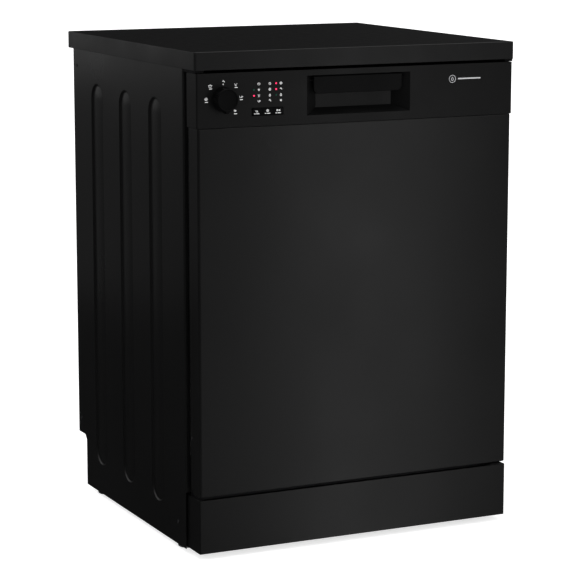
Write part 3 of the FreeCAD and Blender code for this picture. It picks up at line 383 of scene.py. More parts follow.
def face_outwards(bm, direction):
    """Turn a skin so that its flat part looks the given way."""
    bmesh.ops.remove_doubles(bm, verts=bm.verts, dist=0.01)
    bmesh.ops.recalc_face_normals(bm, faces=bm.faces)
    side = sum(f.normal.dot(Vector(direction)) * f.calc_area() for f in bm.faces)
    if side < 0:
        bmesh.ops.reverse_faces(bm, faces=bm.faces)


def plate(bm, outline, front, back, round_over=0.5, holes=()):
    """A plate upright in X and Z with a rounded front edge; outline and holes are (x, z)."""
    at = lambda loop, y: [(x, y, z) for x, z in loop]
    middle = Vector((sum(p[0] for p in outline), sum(p[1] for p in outline))) / len(outline)

    def shrunk(loop, by):
        """Move each point by towards the inside, along the loop's own normals."""
        moved = []
        for i, point in enumerate(loop):
            run = Vector(loop[(i + 1) % len(loop)]) - Vector(loop[i - 1])
            normal = Vector((-run.y, run.x)).normalized()
            if normal.dot(middle - Vector(point)) < 0:
                normal = -normal
            moved.append(tuple(Vector(point) + normal * by))
        return moved

    turns = [(round_over * (1 - cos(a)), round_over * (1 - sin(a)))
             for a in (0, pi / 6, pi / 3, pi / 2)]
    way = 1 if back > front else -1
    rings = [at(outline, back)]
    rings += [at(shrunk(outline, inset), front + way * down) for inset, down in turns]
    loft(bm, rings)
    flat_with_holes(bm, rings[-1], [at(hole, front) for hole in holes])
    for hole in holes:
        loft(bm, [at(hole, front), at(hole, back)])
    bmesh.ops.remove_doubles(bm, verts=bm.verts, dist=0.01)
    bmesh.ops.recalc_face_normals(bm, faces=bm.faces)


def bent_path(points, radius, closed=False, steps=5):
    """Points in space with each bend turned into an arc of that radius."""
    count = len(points)
    path = []
    for i in range(count):
        here = Vector(points[i])
        if not closed and i in (0, count - 1):
            path.append(here)
            continue
        back = Vector(points[i - 1]) - here
        onward = Vector(points[(i + 1) % count]) - here
        half = back.angle(onward) / 2
        if half > 1.55:
            path.append(here)
            continue
        reach = min(radius / tan(half), back.length * 0.49, onward.length * 0.49)
        size = reach * tan(half)
        back.normalize()
        onward.normalize()
        centre = here + (back + onward).normalized() * (size / sin(half))
        start, stop = here + back * reach - centre, here + onward * reach - centre
        turns = [start.slerp(stop, step / steps).normalized() for step in range(steps + 1)]
        path += [centre + turn * size for turn in turns]
    return path


def tube_mesh(name, paths, radius, closed=False, sides=2):
    """Round bars along paths in millimetres, as one mesh."""
    curve = bpy.data.curves.new(name, "CURVE")
    curve.dimensions = "3D"
    curve.bevel_depth = radius * MM
    curve.bevel_resolution = sides
    curve.use_fill_caps = True
    for path in paths:
        spline = curve.splines.new("POLY")
        spline.points.add(len(path) - 1)
        for point, place in zip(spline.points, path):
            point.co = (*(Vector(place) * MM), 1)
        spline.use_cyclic_u = closed
        spline.use_smooth = True
    holder = bpy.data.objects.new(name, curve)
    mesh = bpy.data.meshes.new_from_object(holder)
    bpy.data.objects.remove(holder)
    bpy.data.curves.remove(curve)
    mesh.materials.clear()
    mesh.shade_smooth()
    mesh.set_sharp_from_angle(angle=radians(50))
    return mesh


def wires(name, runs, radius, body, slot, stands_for=(), bend=8, closed=False, sides=2):
    """Round wires through the runs' points, with real bends, as one piece."""
    paths = [bent_path(run, bend, closed) if len(run) > 2 else run for run in runs]
    item = add_object(name, tube_mesh(name, paths, radius, closed, sides), body, slot)
    if stands_for:
        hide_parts(*stands_for)


# ---- pressed sheet ---------------------------------------------------------------------------

RIM = 1.2


def bead_edge(at, u, low, high, radius):
    """The outline of the flat rim round a bead, which keeps the sheet's shading flat."""
    return [at(*p, 0) for p in stadium(u, low + radius, high - radius, radius + RIM)]


def bead_floor(bm, at, u, low, high, profile):
    """A bead and its rim: profile is (distance in from the edge, height)."""
    radius, rows = profile
    rings = [
        [at(*point, depth) for point in stadium(u, low + radius, high - radius, radius - inset)]
        for inset, depth in [(-RIM, 0), *rows]
    ]
    loft(bm, rings, ends=(False, True))


def crowned_bead(radius, depth):
    """A groove that drops steeply at its edge and rises again to a soft crown."""
    rows = [(0, 0), (0.4, -0.15), (0.9, -0.6), (1.6, -1.6), (2.3, -2.5), (3, -2.95), (3.7, -3.1),
            (4.6, -3.06), (6, -2.93), (8.5, -2.65), (12, -2.25), (16, -1.85), (20, -1.55),
            (24, -1.35), (28.4, -1.3)]
    return radius, [(inset * radius / 29, height * depth / 3.1) for inset, height in rows]


def raised_bead(radius, height):
    """A low ridge with a rounded top."""
    rows = [(0, 0), (0.14, 0.1), (0.3, 0.42), (0.5, 0.78), (0.75, 0.96), (0.95, 1)]
    return radius, [(share * radius, rise * height) for share, rise in rows]


def side_panel(name, side):
    """Pressed sheet with three crowned beads, folded in at its front and rear edges."""
    bm = bmesh.new()
    at = lambda y, z, out=0.0: (side * (298 + out), y, z)
    beads = [(middle, 62, 764) for middle in (-112, 24, 160)]
    outline = [(-235, 8), (238, 8), (238, 94), (246, 102), (275, 102), (275, 820), (-230, 820),
               (-230, 106), (-235, 106)]
    holes = [bead_edge(at, y, low, high, 29) for y, low, high in beads]
    flat_with_holes(bm, [at(*p) for p in outline], holes)
    for y, low, high in beads:
        bead_floor(bm, at, y, low, high, crowned_bead(29, 3.1))
    for y, turn, low, flange in ((-232, -3, 106, 9), (277, 3, 102, 12)):
        arc = [(abs(turn) * (1 - cos(a)), turn * sin(a))
               for a in (0, pi / 8, pi / 4, 3 * pi / 8, pi / 2)]
        section = [(0, y - turn * 2 / 3), *((-inward, y + along) for inward, along in arc),
                   (-flange, y + turn)]
        loft(bm, [[at(place, z, out) for out, place in section] for z in (low, 820)], closed=False)
    face_outwards(bm, (side, 0, 0))
    finish_mesh(name, bm, "cabinet", "black_sheet", stands_for=(name.removesuffix("_sheet"),),
                sheet=0.8, sharp=50)


def outer_door():
    """The front sheet, wrapped round both sides with soft corners and hemmed top and bottom."""
    bm = bmesh.new()
    corner = [(-cos(a) * 4, -sin(a) * 4) for a in
              (0, pi / 12, pi / 6, pi / 4, pi / 3, 5 * pi / 12, pi / 2)]
    left = [(-294, -249, 0), (-294, -258, 1)] + [(-290 + x, -282 + y, 1) for x, y in corner]
    section = left + [(-x, y, low) for x, y, low in reversed(left)]
    rings = []
    for z, inset in ((108, 1.6), (108.25, 0.8), (108.9, 0.25), (109.6, 0), (723.4, 0),
                     (724.1, 0.25), (724.75, 0.8), (725, 1.6)):
        ring = []
        for x, y, low in section:
            shift = -inset if x > 0 else inset
            front = inset if y < -281.9 else 0
            ring.append((x + shift, y + front, max(z, 115) if not low else z))
        rings.append(ring)
    loft(bm, rings, closed=False)
    block(bm, (-278, 278), (-284.6, -262), (108.1, 108.8))
    block(bm, (-293.2, 293.2), (-283.4, -249.5), (723.4, 725.5))
    face_outwards(bm, (0, -1, 0))
    finish_mesh("outer_door_sheet", bm, "door", "black_sheet", stands_for=("outer_door_panel",),
                sheet=0.8, sharp=50)


def worktop():
    """A laminate top on a board with a rounded plastic edging."""
    ring = lambda inset, z: [(x, y, z) for x, y in round_corners(
        [(-299 + inset, -286 + inset), (299 - inset, -286 + inset), (299 - inset, 304 - inset),
         (-299 + inset, 304 - inset)], 4 - inset)]
    bm = bmesh.new()
    loft(bm, [ring(0.5, 820), ring(0, 820.6), ring(0, 848.4), ring(0.25, 849.2), ring(0.8, 849.75),
              ring(1.4, 849.92)])
    face_outwards(bm, (0, -1, 0))
    finish_mesh("worktop_edging", bm, "cabinet", "worktop_laminate", EDGING, sharp=60)
    bm = bmesh.new()
    loft(bm, [ring(1.4, 849.92), ring(1.7, 850)], ends=(False, True))
    loft(bm, [ring(0.5, 820), ring(3, 820)], ends=(False, True))
    # Black blocks under the board's front and sides fill the gap beneath the worktop: dark filler
    # as painted shade, standing for the shadow in that gap.
    block(bm, (-297, 297), (-245, -236.5), (815.9, 820))
    for side in (-1, 1):
        block(bm, (side * 282, side * 297.4), (-284, -245), (815.9, 820))
    finish_mesh("worktop_board", bm, "cabinet", "worktop_laminate", stands_for=("worktop",),
                solid=True)


worktop()
side_panel("side_panel_left_sheet", -1)
side_panel("side_panel_right_sheet", 1)
outer_door()


# ---- control panel ---------------------------------------------------------------------------

KNOB = (-248, 772)


def selector_knob():
    bm = bmesh.new()
    turned(bm, [
        (17, -286.6), (20.2, -286.6), (20.5, -287.1), (20.4, -288.4), (19.9, -294), (19.35, -300.5),
        (19.1, -302.4), (18.6, -303.4), (17.7, -303.9), (17.1, -303.9), (16.7, -303.5),
        (16.3, -302.9), (15.6, -302.7), (8, -302.55), (0.6, -302.5),
    ], KNOB, count=72)
    ribs = circle(KNOB, 19.55, 36)
    for spot in ribs[:26] + ribs[29:]:
        turned(bm, [(0.45, -289.5), (0.6, -290.5), (0.55, -299), (0.3, -300.6)], spot, count=8)
    tab = round_corners([(-4.2, -17.6), (4.2, -17.6), (2.6, -22.3), (-2.6, -22.3)],
                        [0, 0, 1.6, 1.6])
    plate(bm, [(KNOB[0] + x, KNOB[1] + z) for x, z in tab], -303.4, -291, 0.7)
    finish_mesh("selector_knob_turned", bm, "selector_knob", "knob_plastic",
                stands_for=("selector_knob",), sharp=40)


def handle_flap():
    bm = bmesh.new()
    outline = rounded((-83.3, 82.5), (774.5, 803.4), [8, 8, 1.5, 1.5])
    plate(bm, outline, -283, -279.5, 1.1)
    lip = rounded((-79, 78.2), (774.6, 777.2), 1.2)
    plate(bm, lip, -281, -276.1, 0.6)
    turned(bm, [(1, -91), (1.45, -90.6), (1.45, 89.8), (1, 90.2)], (-278.5, 797), "x", 20)
    turned(bm, [(2.2, -80), (3, -79.2), (3, 78.4), (2.2, 79.2)], (-278.5, 797), "x", 24)
    for x in (-60, -20, 20, 60):
        block(bm, (x - 1, x + 1), (-280, -276.5), (776, 796))
    finish_mesh("handle_flap", bm, "handle_lever", "black_panel", FLAP,
                stands_for=("handle_lever",))


KEYS = ((-188.6, 16.8), (-169, 19), (-149.8, 17))


def key_outlines(gap):
    loops = []
    for i, (x, width) in enumerate(KEYS):
        u = (x - width / 2 + gap, x + width / 2 - gap)
        left = 5.2 if i == 0 else 0.5
        right = 2.2 if i == 2 else 0.5
        loops.append(round_corners(
            rectangle(u, (743.5 + gap, 755.5 - gap)), [left, right, right, left]))
    return loops


def keys():
    bm = bmesh.new()
    strip = rounded((-198, -139.5), (742.5, 756.5), [6.2, 3.2, 3.2, 6.2])
    plate(bm, strip, -286.38, -283.2, 0.35, key_outlines(0))
    finish_mesh("key_strip", bm, "door", "key_gloss", stands_for=("key_bezel",))
    for number, outline in enumerate(key_outlines(0.28), 1):
        bm = bmesh.new()
        plate(bm, outline, -286.38, -283.4, 0.3)
        x = KEYS[number - 1][0]
        turned(bm, [(1.9, -283.5), (1.9, -272.6), (1.5, -272.2)], (x, 749.5), count=20)
        finish_mesh(f"key_cap_{number}", bm, f"key_{number}", "key_gloss",
                    stands_for=(f"key_{number}",))


PRINT = 0.08


def stroke(bm, points, width, y):
    """A printed line through (x, z) points, a little proud of the surface at y."""
    path = [Vector(p) for p in points]
    last = len(path) - 1
    rings = []
    for i, here in enumerate(path):
        run = (path[min(i + 1, last)] - path[max(i - 1, 0)]).normalized()
        side = Vector((-run.y, run.x)) * width / 2
        rings.append((tuple(here + side), tuple(here - side)))
    for low, high in zip(rings, rings[1:]):
        quad = [low[0], low[1], high[1], high[0]]
        front = [bm.verts.new((x, y - PRINT, z)) for x, z in quad]
        back = [bm.verts.new((x, y, z)) for x, z in quad]
        bm.faces.new(front)
        for i in range(4):
            j = (i + 1) % 4
            bm.faces.new((front[i], back[i], back[j], front[j]))


PICTURES = {
    "pot": [([(-2, 1), (-1.8, -1.5), (1.8, -1.5), (2, 1)], 0.7), ([(-2.6, 1.1), (2.6, 1.1)], 0.6),
            ([(-0.6, 2), (0.6, 2)], 0.7)],
    "glass": [([(-1.6, 2), (-1, -0.2), (1, -0.2), (1.6, 2)], 0.7), ([(0, -0.2), (0, -2)], 0.7),
              ([(-1.3, -2), (1.3, -2)], 0.6)],
    "plate": [(arc((0, 0), 1.9), 0.7), (arc((0, 0), 0.6, steps=8), 0.8)],
    "drop": [([(0, 2.2), *arc((0, -0.5), 1.4, 40, -220, 12), (0, 2.2)], 0.75)],
    "cup": [([(-1.8, 1.4), (-1.3, -1.5), (0.7, -1.5), (1.2, 1.4)], 0.8),
            (arc((1.4, 0.2), 0.9, 90, -90, 8), 0.6)],
    "star": [([(-u, -v), (u, v)], 0.65) for u, v in arc((0, 0), 2, 0, 120, 2)],
    "clock": [(arc((0, 0), 1.9), 0.6), ([(0, 1.2), (0, 0), (1, -0.5)], 0.55)],
    "tap": [([(-2, 0.8), (0.8, 0.8), (1.6, 0), (1.6, -1.2)], 0.9), ([(-0.8, 2), (0.8, 2)], 0.6),
            ([(0, 2), (0, 0.8)], 0.6)],
}


def picture(name, x, z, stretch=1.0):
    """The strokes of a picture about (x, z), as (points, width)."""
    return [([(x + stretch * u, z + v) for u, v in points], width)
            for points, width in PICTURES[name]]


def printed_marks():
    """The white marks: pictures of dishes, glasses, drops and clocks, with bars beside them."""
    marks = []
    for name, x, z, bar_z in (
        ("pot", -271.5, 794.6, -4.6), ("plate", -279, 773.6, -5), ("glass", -226, 795.6, -4.8),
        ("cup", -216.8, 775.2, -4.6), ("star", -227.4, 752.8, -4.8),
    ):
        marks += picture(name, x, z, 1.35)
        marks.append(([(x - 2.1, z + bar_z), (x + 3.3, z + bar_z)], 1.1))
    marks += picture("tap", -248, 801) + [(arc((-248.4, 796.8), 0.5, steps=8), 1.0)]
    columns = ((-184.6, "pot star glass cup"), (-164.8, "clock plate drop tap"),
               (-144.8, "plate tap drop star"))
    for x, names in columns:
        for name, z in zip(names.split(), (795, 785.5, 776, 767)):
            marks += picture(name, x, z)
    bm = bmesh.new()
    for points, width in marks:
        stroke(bm, points, width, -286)
    finish_mesh("printed_marks", bm, "door", "black_panel", PRINT_WHITE)


def key_marks():
    shapes = {
        1: [([(-1.6, 2.2), (-1.6, -0.6), (2, -0.6)], 0.8), ([(0, 1.6), (1.8, 0.2)], 0.8)],
        2: [(arc((0, 0.9), 1.7), 0.7), (arc((0, 0.9), 0.4, steps=8), 0.6)],
        3: [([(-2.6, 2.4), (-2.6, -0.7)], 0.8),
            ([(-1.6, 2.3), (0.4, 0.8), (-1.6, -0.7), (-1.6, 2.3)], 0.7),
            ([(1.6, 2.2), (1.6, -0.6)], 0.9), ([(3, 2.2), (3, -0.6)], 0.9)],
    }
    for number, lines in shapes.items():
        x = KEYS[number - 1][0]
        bm = bmesh.new()
        for points, width in lines:
            stroke(bm, [(x + u, 749.8 + v) for u, v in points], width, -286.38)
        stroke(bm, [(x - 5, 746.3), (x - 2.4, 746.3)], 1, -286.38)
        stroke(bm, [(x - 1.2, 746.3), (x + 4.6, 746.3)], 1, -286.38)
        finish_mesh(f"key_marks_{number}", bm, f"key_{number}", "key_gloss", PRINT_WHITE)


def lamps():
    spots = ((-193.6, 785.5, LAMP_GREEN), (-193.6, 776, LAMP_RED), (-153.5, 795, LAMP_RED),
             (-153.5, 785.5, LAMP_RED), (-153.5, 776, LAMP_GREEN))
    for i, (x, z, glow) in enumerate(spots, 1):
        bm = bmesh.new()
        turned(bm, [(1.4, -286), (1.4, -286.32), (1.15, -286.5), (0.6, -286.62), (0.15, -286.65)],
               (x, z), count=24)
        finish_mesh(f"lamp_lens_{i}", bm, "door", "board", glow)


def generic_mark():
    """A plain water drop in a ring beside a bar."""
    bm = bmesh.new()
    x, z = 178, 790
    stroke(bm, arc((x, z), 6.2, steps=36), 0.8, -286)
    for points, _ in picture("drop", 0, 0):
        stroke(bm, [(x + 1.45 * u, z + 1.45 * v) for u, v in points], 0.9, -286)
    stroke(bm, [(189, z), (233, z)], 2.2, -286)
    finish_mesh("generic_mark", bm, "door", "black_panel", PRINT_GREY)


selector_knob()
handle_flap()
keys()
printed_marks()
key_marks()
lamps()
generic_mark()


# ---- tub and liner ---------------------------------------------------------------------------

def arch(half, low, top, radius, steps=6):
    """Points up one side, over the top and down the other, each with its outward direction."""
    quarter = [pi / 2 * i / steps for i in range(steps + 1)]
    left = [(-half, low, -1, 0)] + [
        (-half + radius - radius * cos(a), top - radius + radius * sin(a),
         -cos(a), sin(a)) for a in quarter
    ]
    return left + [(-x, z, -nx, nz) for x, z, nx, nz in reversed(left)]


def along_arch(bm, path, section, closed=False):
    """Sweep a section of (distance outward, y) along an arch."""
    loft(bm, [
        [(x + nx * out, y, z + nz * out) for out, y in section] for x, z, nx, nz in path
    ], closed=closed, ends=(closed, closed))


def pressed_wall(bm, at, outline, beads, depth):
    """A flat wall with sunk beads: beads are (u, low, high, radius), and at maps to space."""
    loops = [bead_edge(at, *bead) for bead in beads]
    flat_with_holes(bm, [at(*p, 0) for p in outline], loops)
    for u, low, high, r in beads:
        bead_floor(bm, at, u, low, high, raised_bead(r, depth))


def tub():
    half, top, front, back, bend = 268, 795, -210, 258, 18
    bm = bmesh.new()
    for side in (-1, 1):
        at = lambda z, y, out, side=side: (side * (half + out), y, z)
        beads = [(z, -165, 205, 12 if z == 470 else 16) for z in (265, 385, 470, 620, 705)]
        pressed_wall(bm, at, rectangle((165, top - bend), (front, back)), beads, 3)
    roof = lambda x, y, out: (x, y, top + out)
    beads = [(x, -150, 200, 24) for x in (-160, 0, 160)]
    pressed_wall(bm, roof, rectangle((bend - half, half - bend), (front, back)), beads, 3)
    bends = arch(half, 165, top, bend)
    along_arch(bm, bends[1:8], [(0, front), (0, back)])
    along_arch(bm, bends[8:15], [(0, front), (0, back)])
    along_arch(bm, bends, [(0, front), (0.3, -212.2), (1.2, -213.5), (2.8, -214), (14.2, -214),
                           (15, -213.2)])
    finish_mesh("tub_shell", bm, "cabinet", "stainless", stands_for=("tub_wrap",), sharp=50)
    bm = bmesh.new()
    at = lambda x, z, out: (x, back + out, z)
    beads = [(x, 230, 740, 22) for x in (-200, -110, 110, 200)]
    pressed_wall(bm, at, rectangle((-half, half), (165, top)), beads, 3)
    finish_mesh("tub_back_wall", bm, "cabinet", "stainless", stands_for=("tub_back",), sharp=50)


def ring_points(centre, radius, z, count=48):
    return [(x, y, z) for x, y in circle(centre, radius, count)]


def tub_floor():
    bm = bmesh.new()
    profile = [(p.x, p.z) for p in bent_path(
        [(-268, 0, 185), (-238, 0, 185), (-226, 0, 168), (-200, 0, 168)], 7)]
    for side in (-1, 1):
        loft(bm, [[(-side * x, y, z) for x, z in profile] for y in (-214, 258)], closed=False)
        loft(bm, [[(-side * x, -214, z) for x, z in profile],
                  [(-side * x, -214, 140) for x, z in profile]], closed=False)
    loft(bm, [[(x, -214, z) for x in (-200, 200)] for z in (168, 140)], closed=False)
    holes = [((0, -10), 85), ((-150, -80), 31)]
    flat_with_holes(bm, [(-200, -214, 168), (200, -214, 168), (200, 258, 168), (-200, 258, 168)],
                    [ring_points(centre, radius, 168) for centre, radius in holes])
    for centre, radius in holes:
        loft(bm, [ring_points(centre, radius, 168), ring_points(centre, radius - 0.6, 167.2),
                  ring_points(centre, radius - 0.6, 165)])
    finish_mesh("tub_floor_pan", bm, "cabinet", "stainless", stands_for=("tub_floor",), sharp=50)


def door_seal():
    bm = bmesh.new()
    section = [(0.6, -214), (0, -216), (1.3, -218.2), (0.1, -220.6), (0.9, -223.2), (3, -224.4),
               (6, -224.2), (7.9, -221.8), (7, -218.6), (8, -216), (7.4, -214)]
    along_arch(bm, arch(269, 181, 796, 9), section, closed=True)
    strip = [(-214, 168), (-214, 180.6), (-216.5, 181), (-219, 179.6), (-222, 180.8), (-224.2, 179),
             (-224.4, 176.6), (-221, 175), (-220, 171), (-218, 168)]
    loft(bm, [[(x, y, z) for y, z in strip] for x in (-277, 277)], ends=(True, True))
    finish_mesh("door_gasket", bm, "cabinet", "seal_rubber", stands_for=("door_seal",), sharp=60,
                solid=True)


def liner():
    """The stainless inside of the door: a pan with a sunk field."""
    bm = bmesh.new()
    at = lambda loop, y: [(x, y, z) for x, z in loop]
    grown = lambda by, radius: round_corners(
        rectangle((-280 - by, 280 + by), (118 - by, 812 + by)), radius)
    edge = [(0, -245), (0, -228.6), (-0.25, -227), (-1, -225.7), (-2.4, -225)]
    rings = [at(grown(by, 14 + by), y) for by, y in edge]
    loft(bm, rings)
    field = [(0, -225), (0.6, -225.3), (2.2, -226.6), (4.2, -228), (5.6, -228.4)]
    steps = [at(rounded((-238 + by, 238 - by), (156 + by, 764 - by), 32 - by), y)
             for by, y in field]
    slot = rounded((-24, 24), (801, 809), 1.5)
    flat_with_holes(bm, rings[-1], [steps[0], at(slot, -225)])
    loft(bm, [at(slot, -225), at(slot, -226)])
    loft(bm, steps)
    opening = rounded((-76, 76), (398, 532), 10)
    wall = lambda x, z, out: (x, -228.4 + out, z)
    beads = [(x, 585, 725, 16) for x in (-160, -80, 0, 80, 160)]
    beads += [(x, 200, 345, 16) for x in (-160, -80, 0, 80, 160)]
    loops = [bead_edge(wall, *bead) for bead in beads]
    flat_with_holes(bm, steps[-1], [at(opening, -228.4), *loops])
    for u, low, high, r in beads:
        bead_floor(bm, wall, u, low, high, raised_bead(r, 2.8))
    loft(bm, [at(opening, -228.4), at(opening, -225.6)])
    face_outwards(bm, (0, 1, 0))
    finish_mesh("door_liner", bm, "door", "stainless", stands_for=("inner_door_panel",), sharp=50)


def door_rim():
    """The black flange that closes the door's sides and top round its liner."""
    bm = bmesh.new()
    for side in (-1, 1):
        block(bm, (side * 279, side * 293), (-246.6, -245.4), (332, 812))
    block(bm, (-293, 293), (-246.6, -245.4), (809, 813.6))
    finish_mesh("door_rim", bm, "door", "black_sheet", solid=True)


def dispenser():
    bm = bmesh.new()
    cup = rounded((-66, 4), (412, 482), 9)
    bore = circle((42, 450), 12.5, 32)
    frame = rounded((-80, 80), (394, 536), 16)
    plate(bm, frame, -223.6, -228, 1.1, [cup, bore])
    at = lambda loop, y: [(x, y, z) for x, z in loop]
    small = rounded((-62, 0), (416, 478), 9)
    loft(bm, [at(cup, -228), at(small, -239), at(small, -240.8)], ends=(False, True))
    loft(bm, [at(bore, -228), at(bore, -239)], ends=(False, True))
    block(bm, (-75, 75), (-245.8, -241.2), (399, 531))
    for z in (404, 410, 500, 508, 516, 524):
        ridge = rounded((-70, 70) if z > 495 else (-66, 4), (z, z + 2.6), 1.2)
        plate(bm, ridge, -223.05, -224, 0.4)
    finish_mesh("dispenser_frame", bm, "door", "grey_plastic", stands_for=("dispenser_body",))
    bm = bmesh.new()
    plate(bm, rounded((-70, 8), (408, 486), 10), -220.8, -223.2, 0.8)
    plate(bm, rounded((-50, -12), (470, 474), 1.8), -219, -221.2, 0.7)
    for x in (-52, -42, -32, -22, -12):
        plate(bm, rounded((x - 1.4, x + 1.4), (424, 456), 1.3), -220.2, -221.2, 0.4)
    finish_mesh("dispenser_cover", bm, "dispenser_lid", "clear_plastic",
                stands_for=("dispenser_lid",))
    bm = bmesh.new()
    turned(bm, [(12.2, -233), (12.2, -224), (17.4, -223.2), (18, -222.6), (18, -220.2), (17,
                                                                                         -219.2),
                (15, -219), (13.8, -219.6), (0.4, -219.8)], (42, 450), count=48)
    plate(bm, rounded((29.5, 54.5), (447.4, 452.6), 2.2), -216, -220, 1)
    finish_mesh("rinse_aid_cover", bm, "rinse_aid_cap", "cap_plastic",
                stands_for=("rinse_aid_cap",))


# ---- racks -----------------------------------------------------------------------------------

def spread(first, last, count):
    return [first + (last - first) * i / (count - 1) for i in range(count)]


def loop_at(half, front, back, z):
    return [(-half, front, z), (half, front, z), (half, back, z), (-half, back, z)]


def basket_floor(x_places, y_places, front, back, floor, lift, slope, half, rim):
    runs = [[(x, front, rim), (x, front, floor + lift), (x, front + slope, floor),
             (x, back - slope, floor), (x, back, floor + lift), (x, back, rim)] for x in x_places]
    runs += [[(-half, y, rim), (-half, y, floor + 7), (-half + 11, y, floor - 3.4),
              (half - 11, y, floor - 3.4), (half, y, floor + 7), (half, y, rim)] for y in y_places]
    return runs


def hairpins(x, y_places, floor, height, lean, gap=7):
    """Tines: narrow loops of wire that stand on a rail."""
    return [[(x, y, floor), (x, y + lean, floor + height), (x, y + lean + gap, floor + height),
             (x, y + gap, floor)] for y in y_places]


def lower_rack():
    loops = [loop_at(245, -189, 232, 330)]
    wires("lower_rim", loops, 2.5, "lower_rack", "coated_wire", ("lower_basket",), 27, True, 4)
    wires("lower_band", [loop_at(245, -189, 232, 280), loop_at(245, -189, 232, 304)], 1.8,
          "lower_rack", "coated_wire", (), 27, True)
    runs = basket_floor(spread(-214, 214, 15), spread(-150, 196, 12), -186.5, 229.5, 212, 18, 26,
                        242.5, 330)
    wires("lower_floor_wires", runs, 1.8, "lower_rack", "coated_wire", (), 10)
    runs = []
    for x in (-170, -90):
        runs += hairpins(x, spread(-139, 184, 12), 212, 72, 6)
    wires("lower_tines", runs, 1.8, "lower_rack", "coated_wire", (), 3.4)
    rails = [[(x, -149, 212), (x, 202, 212)] for x in (-170, -90)]
    wires("lower_rails", rails, 2.5, "lower_rack", "coated_wire")
    bm = bmesh.new()
    for side in (-1, 1):
        for y in (-85, 165):
            section = [(y + u, 203 + v) for u, v in round_corners(
                [(-13, -8), (13, -8), (17, 30), (9, 84), (-9, 84), (-17, 30)], 6)]
            rings = [[(side * x, *p) for p in section] for x in (236.8, 239.6)]
            loft(bm, rings, ends=(True, True))
            turned(bm, [(7, side * 236), (7, side * 244), (3, side * 249.6), (3, side * 263)],
                   (y, 203), "x", 24)
    finish_mesh("wheel_carriers", bm, "lower_rack", "grey_plastic", edge=0.6, solid=True)


def wheels():
    for name, y in (("front_wheels", -85), ("rear_wheels", 165)):
        bm = bmesh.new()
        for side in (-1, 1):
            x = lambda place: side * place
            tyre = [(14.2, 250), (16.6, 250), (17.6, 251.2), (17.7, 253), (17.2, 255), (17.7, 257),
                    (17.6, 258.8), (16.6, 260), (14.2, 260), (13.6, 258), (13.6, 252), (14.2, 250)]
            turned(bm, [(r, x(p)) for r, p in tyre], (y, 203), "x", 48, (False, False))
            hub = [(3.1, 250.2), (6, 250.2), (6.6, 250.8), (6.6, 259.2), (6, 259.8), (3.1, 259.8),
                   (3.1, 250.2)]
            turned(bm, [(r, x(p)) for r, p in hub], (y, 203), "x", 32, (False, False))
            for i in range(6):
                a = pi * i / 3
                u = Vector((cos(a), sin(a)))
                v = Vector((-u.y, u.x))
                quad = [u * 5.8 - v * 1.5, u * 14 - v * 1.1, u * 14 + v * 1.1, u * 5.8 + v * 1.5]
                loft(bm, [[(x(p), y + q.x, 203 + q.y) for q in quad] for p in (252.6, 257.4)],
                     ends=(True, True))
        finish_mesh(name + "_spoked", bm, name, "grey_plastic", stands_for=(name,), solid=True)


def fold_row():
    wires("fold_rail", [[(-10, -144, 224), (-10, 197, 224)]], 2, "fold_tines", "coated_wire",
          ("fold_tines",))
    runs = hairpins(-10, spread(-127, 173, 10), 224, 68, 0)
    wires("fold_hairpins", runs, 1.8, "fold_tines", "coated_wire", (), 3.4)


def cutlery_basket():
    """A moulded lattice: slotted walls round eight cells, with a bridge handle."""
    left, right, front, back, low, high = 112, 232, -140, 90, 214.2, 326.2
    bm = bmesh.new()
    rows = spread(front + 1.2, back - 1.2, 5)
    bar = lambda x, y, z: block(bm, x, y, z)
    for z in (low, low + 34, low + 72, high - 7):
        tall = 7 if z > high - 8 else 4.5
        for x in (left, right - 2.4):
            bar((x, x + 2.4), (front, back), (z, z + tall))
        bar((170.8, 173.2), (front, back), (z, z + tall))
        for y in rows:
            bar((left, right), (y - 1.2, y + 1.2), (z, z + tall))
    for y in spread(front + 1, back - 1, 33):
        for x in (left + 0.3, right - 2.1, 171.1):
            bar((x, x + 1.8), (y - 1, y + 1), (low, high - 1))
    for x in spread(left + 1, right - 1, 17):
        for y in rows:
            bar((x - 1, x + 1), (y - 0.9, y + 0.9), (low, high - 1))
    for y in spread(front + 4, back - 4, 27):
        bar((left, right), (y - 1, y + 1), (low, low + 2))
    for x in spread(left + 6, right - 6, 13):
        bar((x - 1, x + 1), (front, back), (low + 0.2, low + 1.8))
    finish_mesh("cutlery_lattice", bm, "lower_rack", "grey_plastic", stands_for=("cutlery_basket",))
    bm = bmesh.new()
    path = bent_path([(172, -80, 318), (172, -80, 368), (172, 32, 368), (172, 32, 318)], 14,
                     steps=8)
    rings = []
    for i, here in enumerate(path):
        run = path[min(i + 1, len(path) - 1)] - path[max(i - 1, 0)]
        out = Vector((0, -run.z, run.y)).normalized()
        rings.append([here + Vector((6 * cos(a), 0, 0)) + out * 3.8 * sin(a)
                      for a in (2 * pi * k / 16 for k in range(16))])
    loft(bm, rings, ends=(True, True))
    finish_mesh("cutlery_handle", bm, "lower_rack", "grey_plastic")


def upper_rack():
    wires("upper_rim", [loop_at(239, -205, 232, 600)], 2.5, "upper_rack", "coated_wire",
          ("upper_basket",), 27, True, 4)
    wires("upper_band", [loop_at(239, -205, 232, 555), loop_at(239, -205, 232, 578)], 1.8,
          "upper_rack", "coated_wire", (), 27, True)
    runs = basket_floor(spread(-205, 205, 15), spread(-160, 187, 13), -202.5, 229.5, 478, 12, 22,
                        236.5, 600)
    wires("upper_floor_wires", runs, 1.8, "upper_rack", "coated_wire", (), 10)
    runs = []
    for x in (-60, 60):
        runs += hairpins(x, spread(-155, 175, 11), 478, 60, 0)
    wires("upper_tines", runs, 1.8, "upper_rack", "coated_wire", (), 3.4)


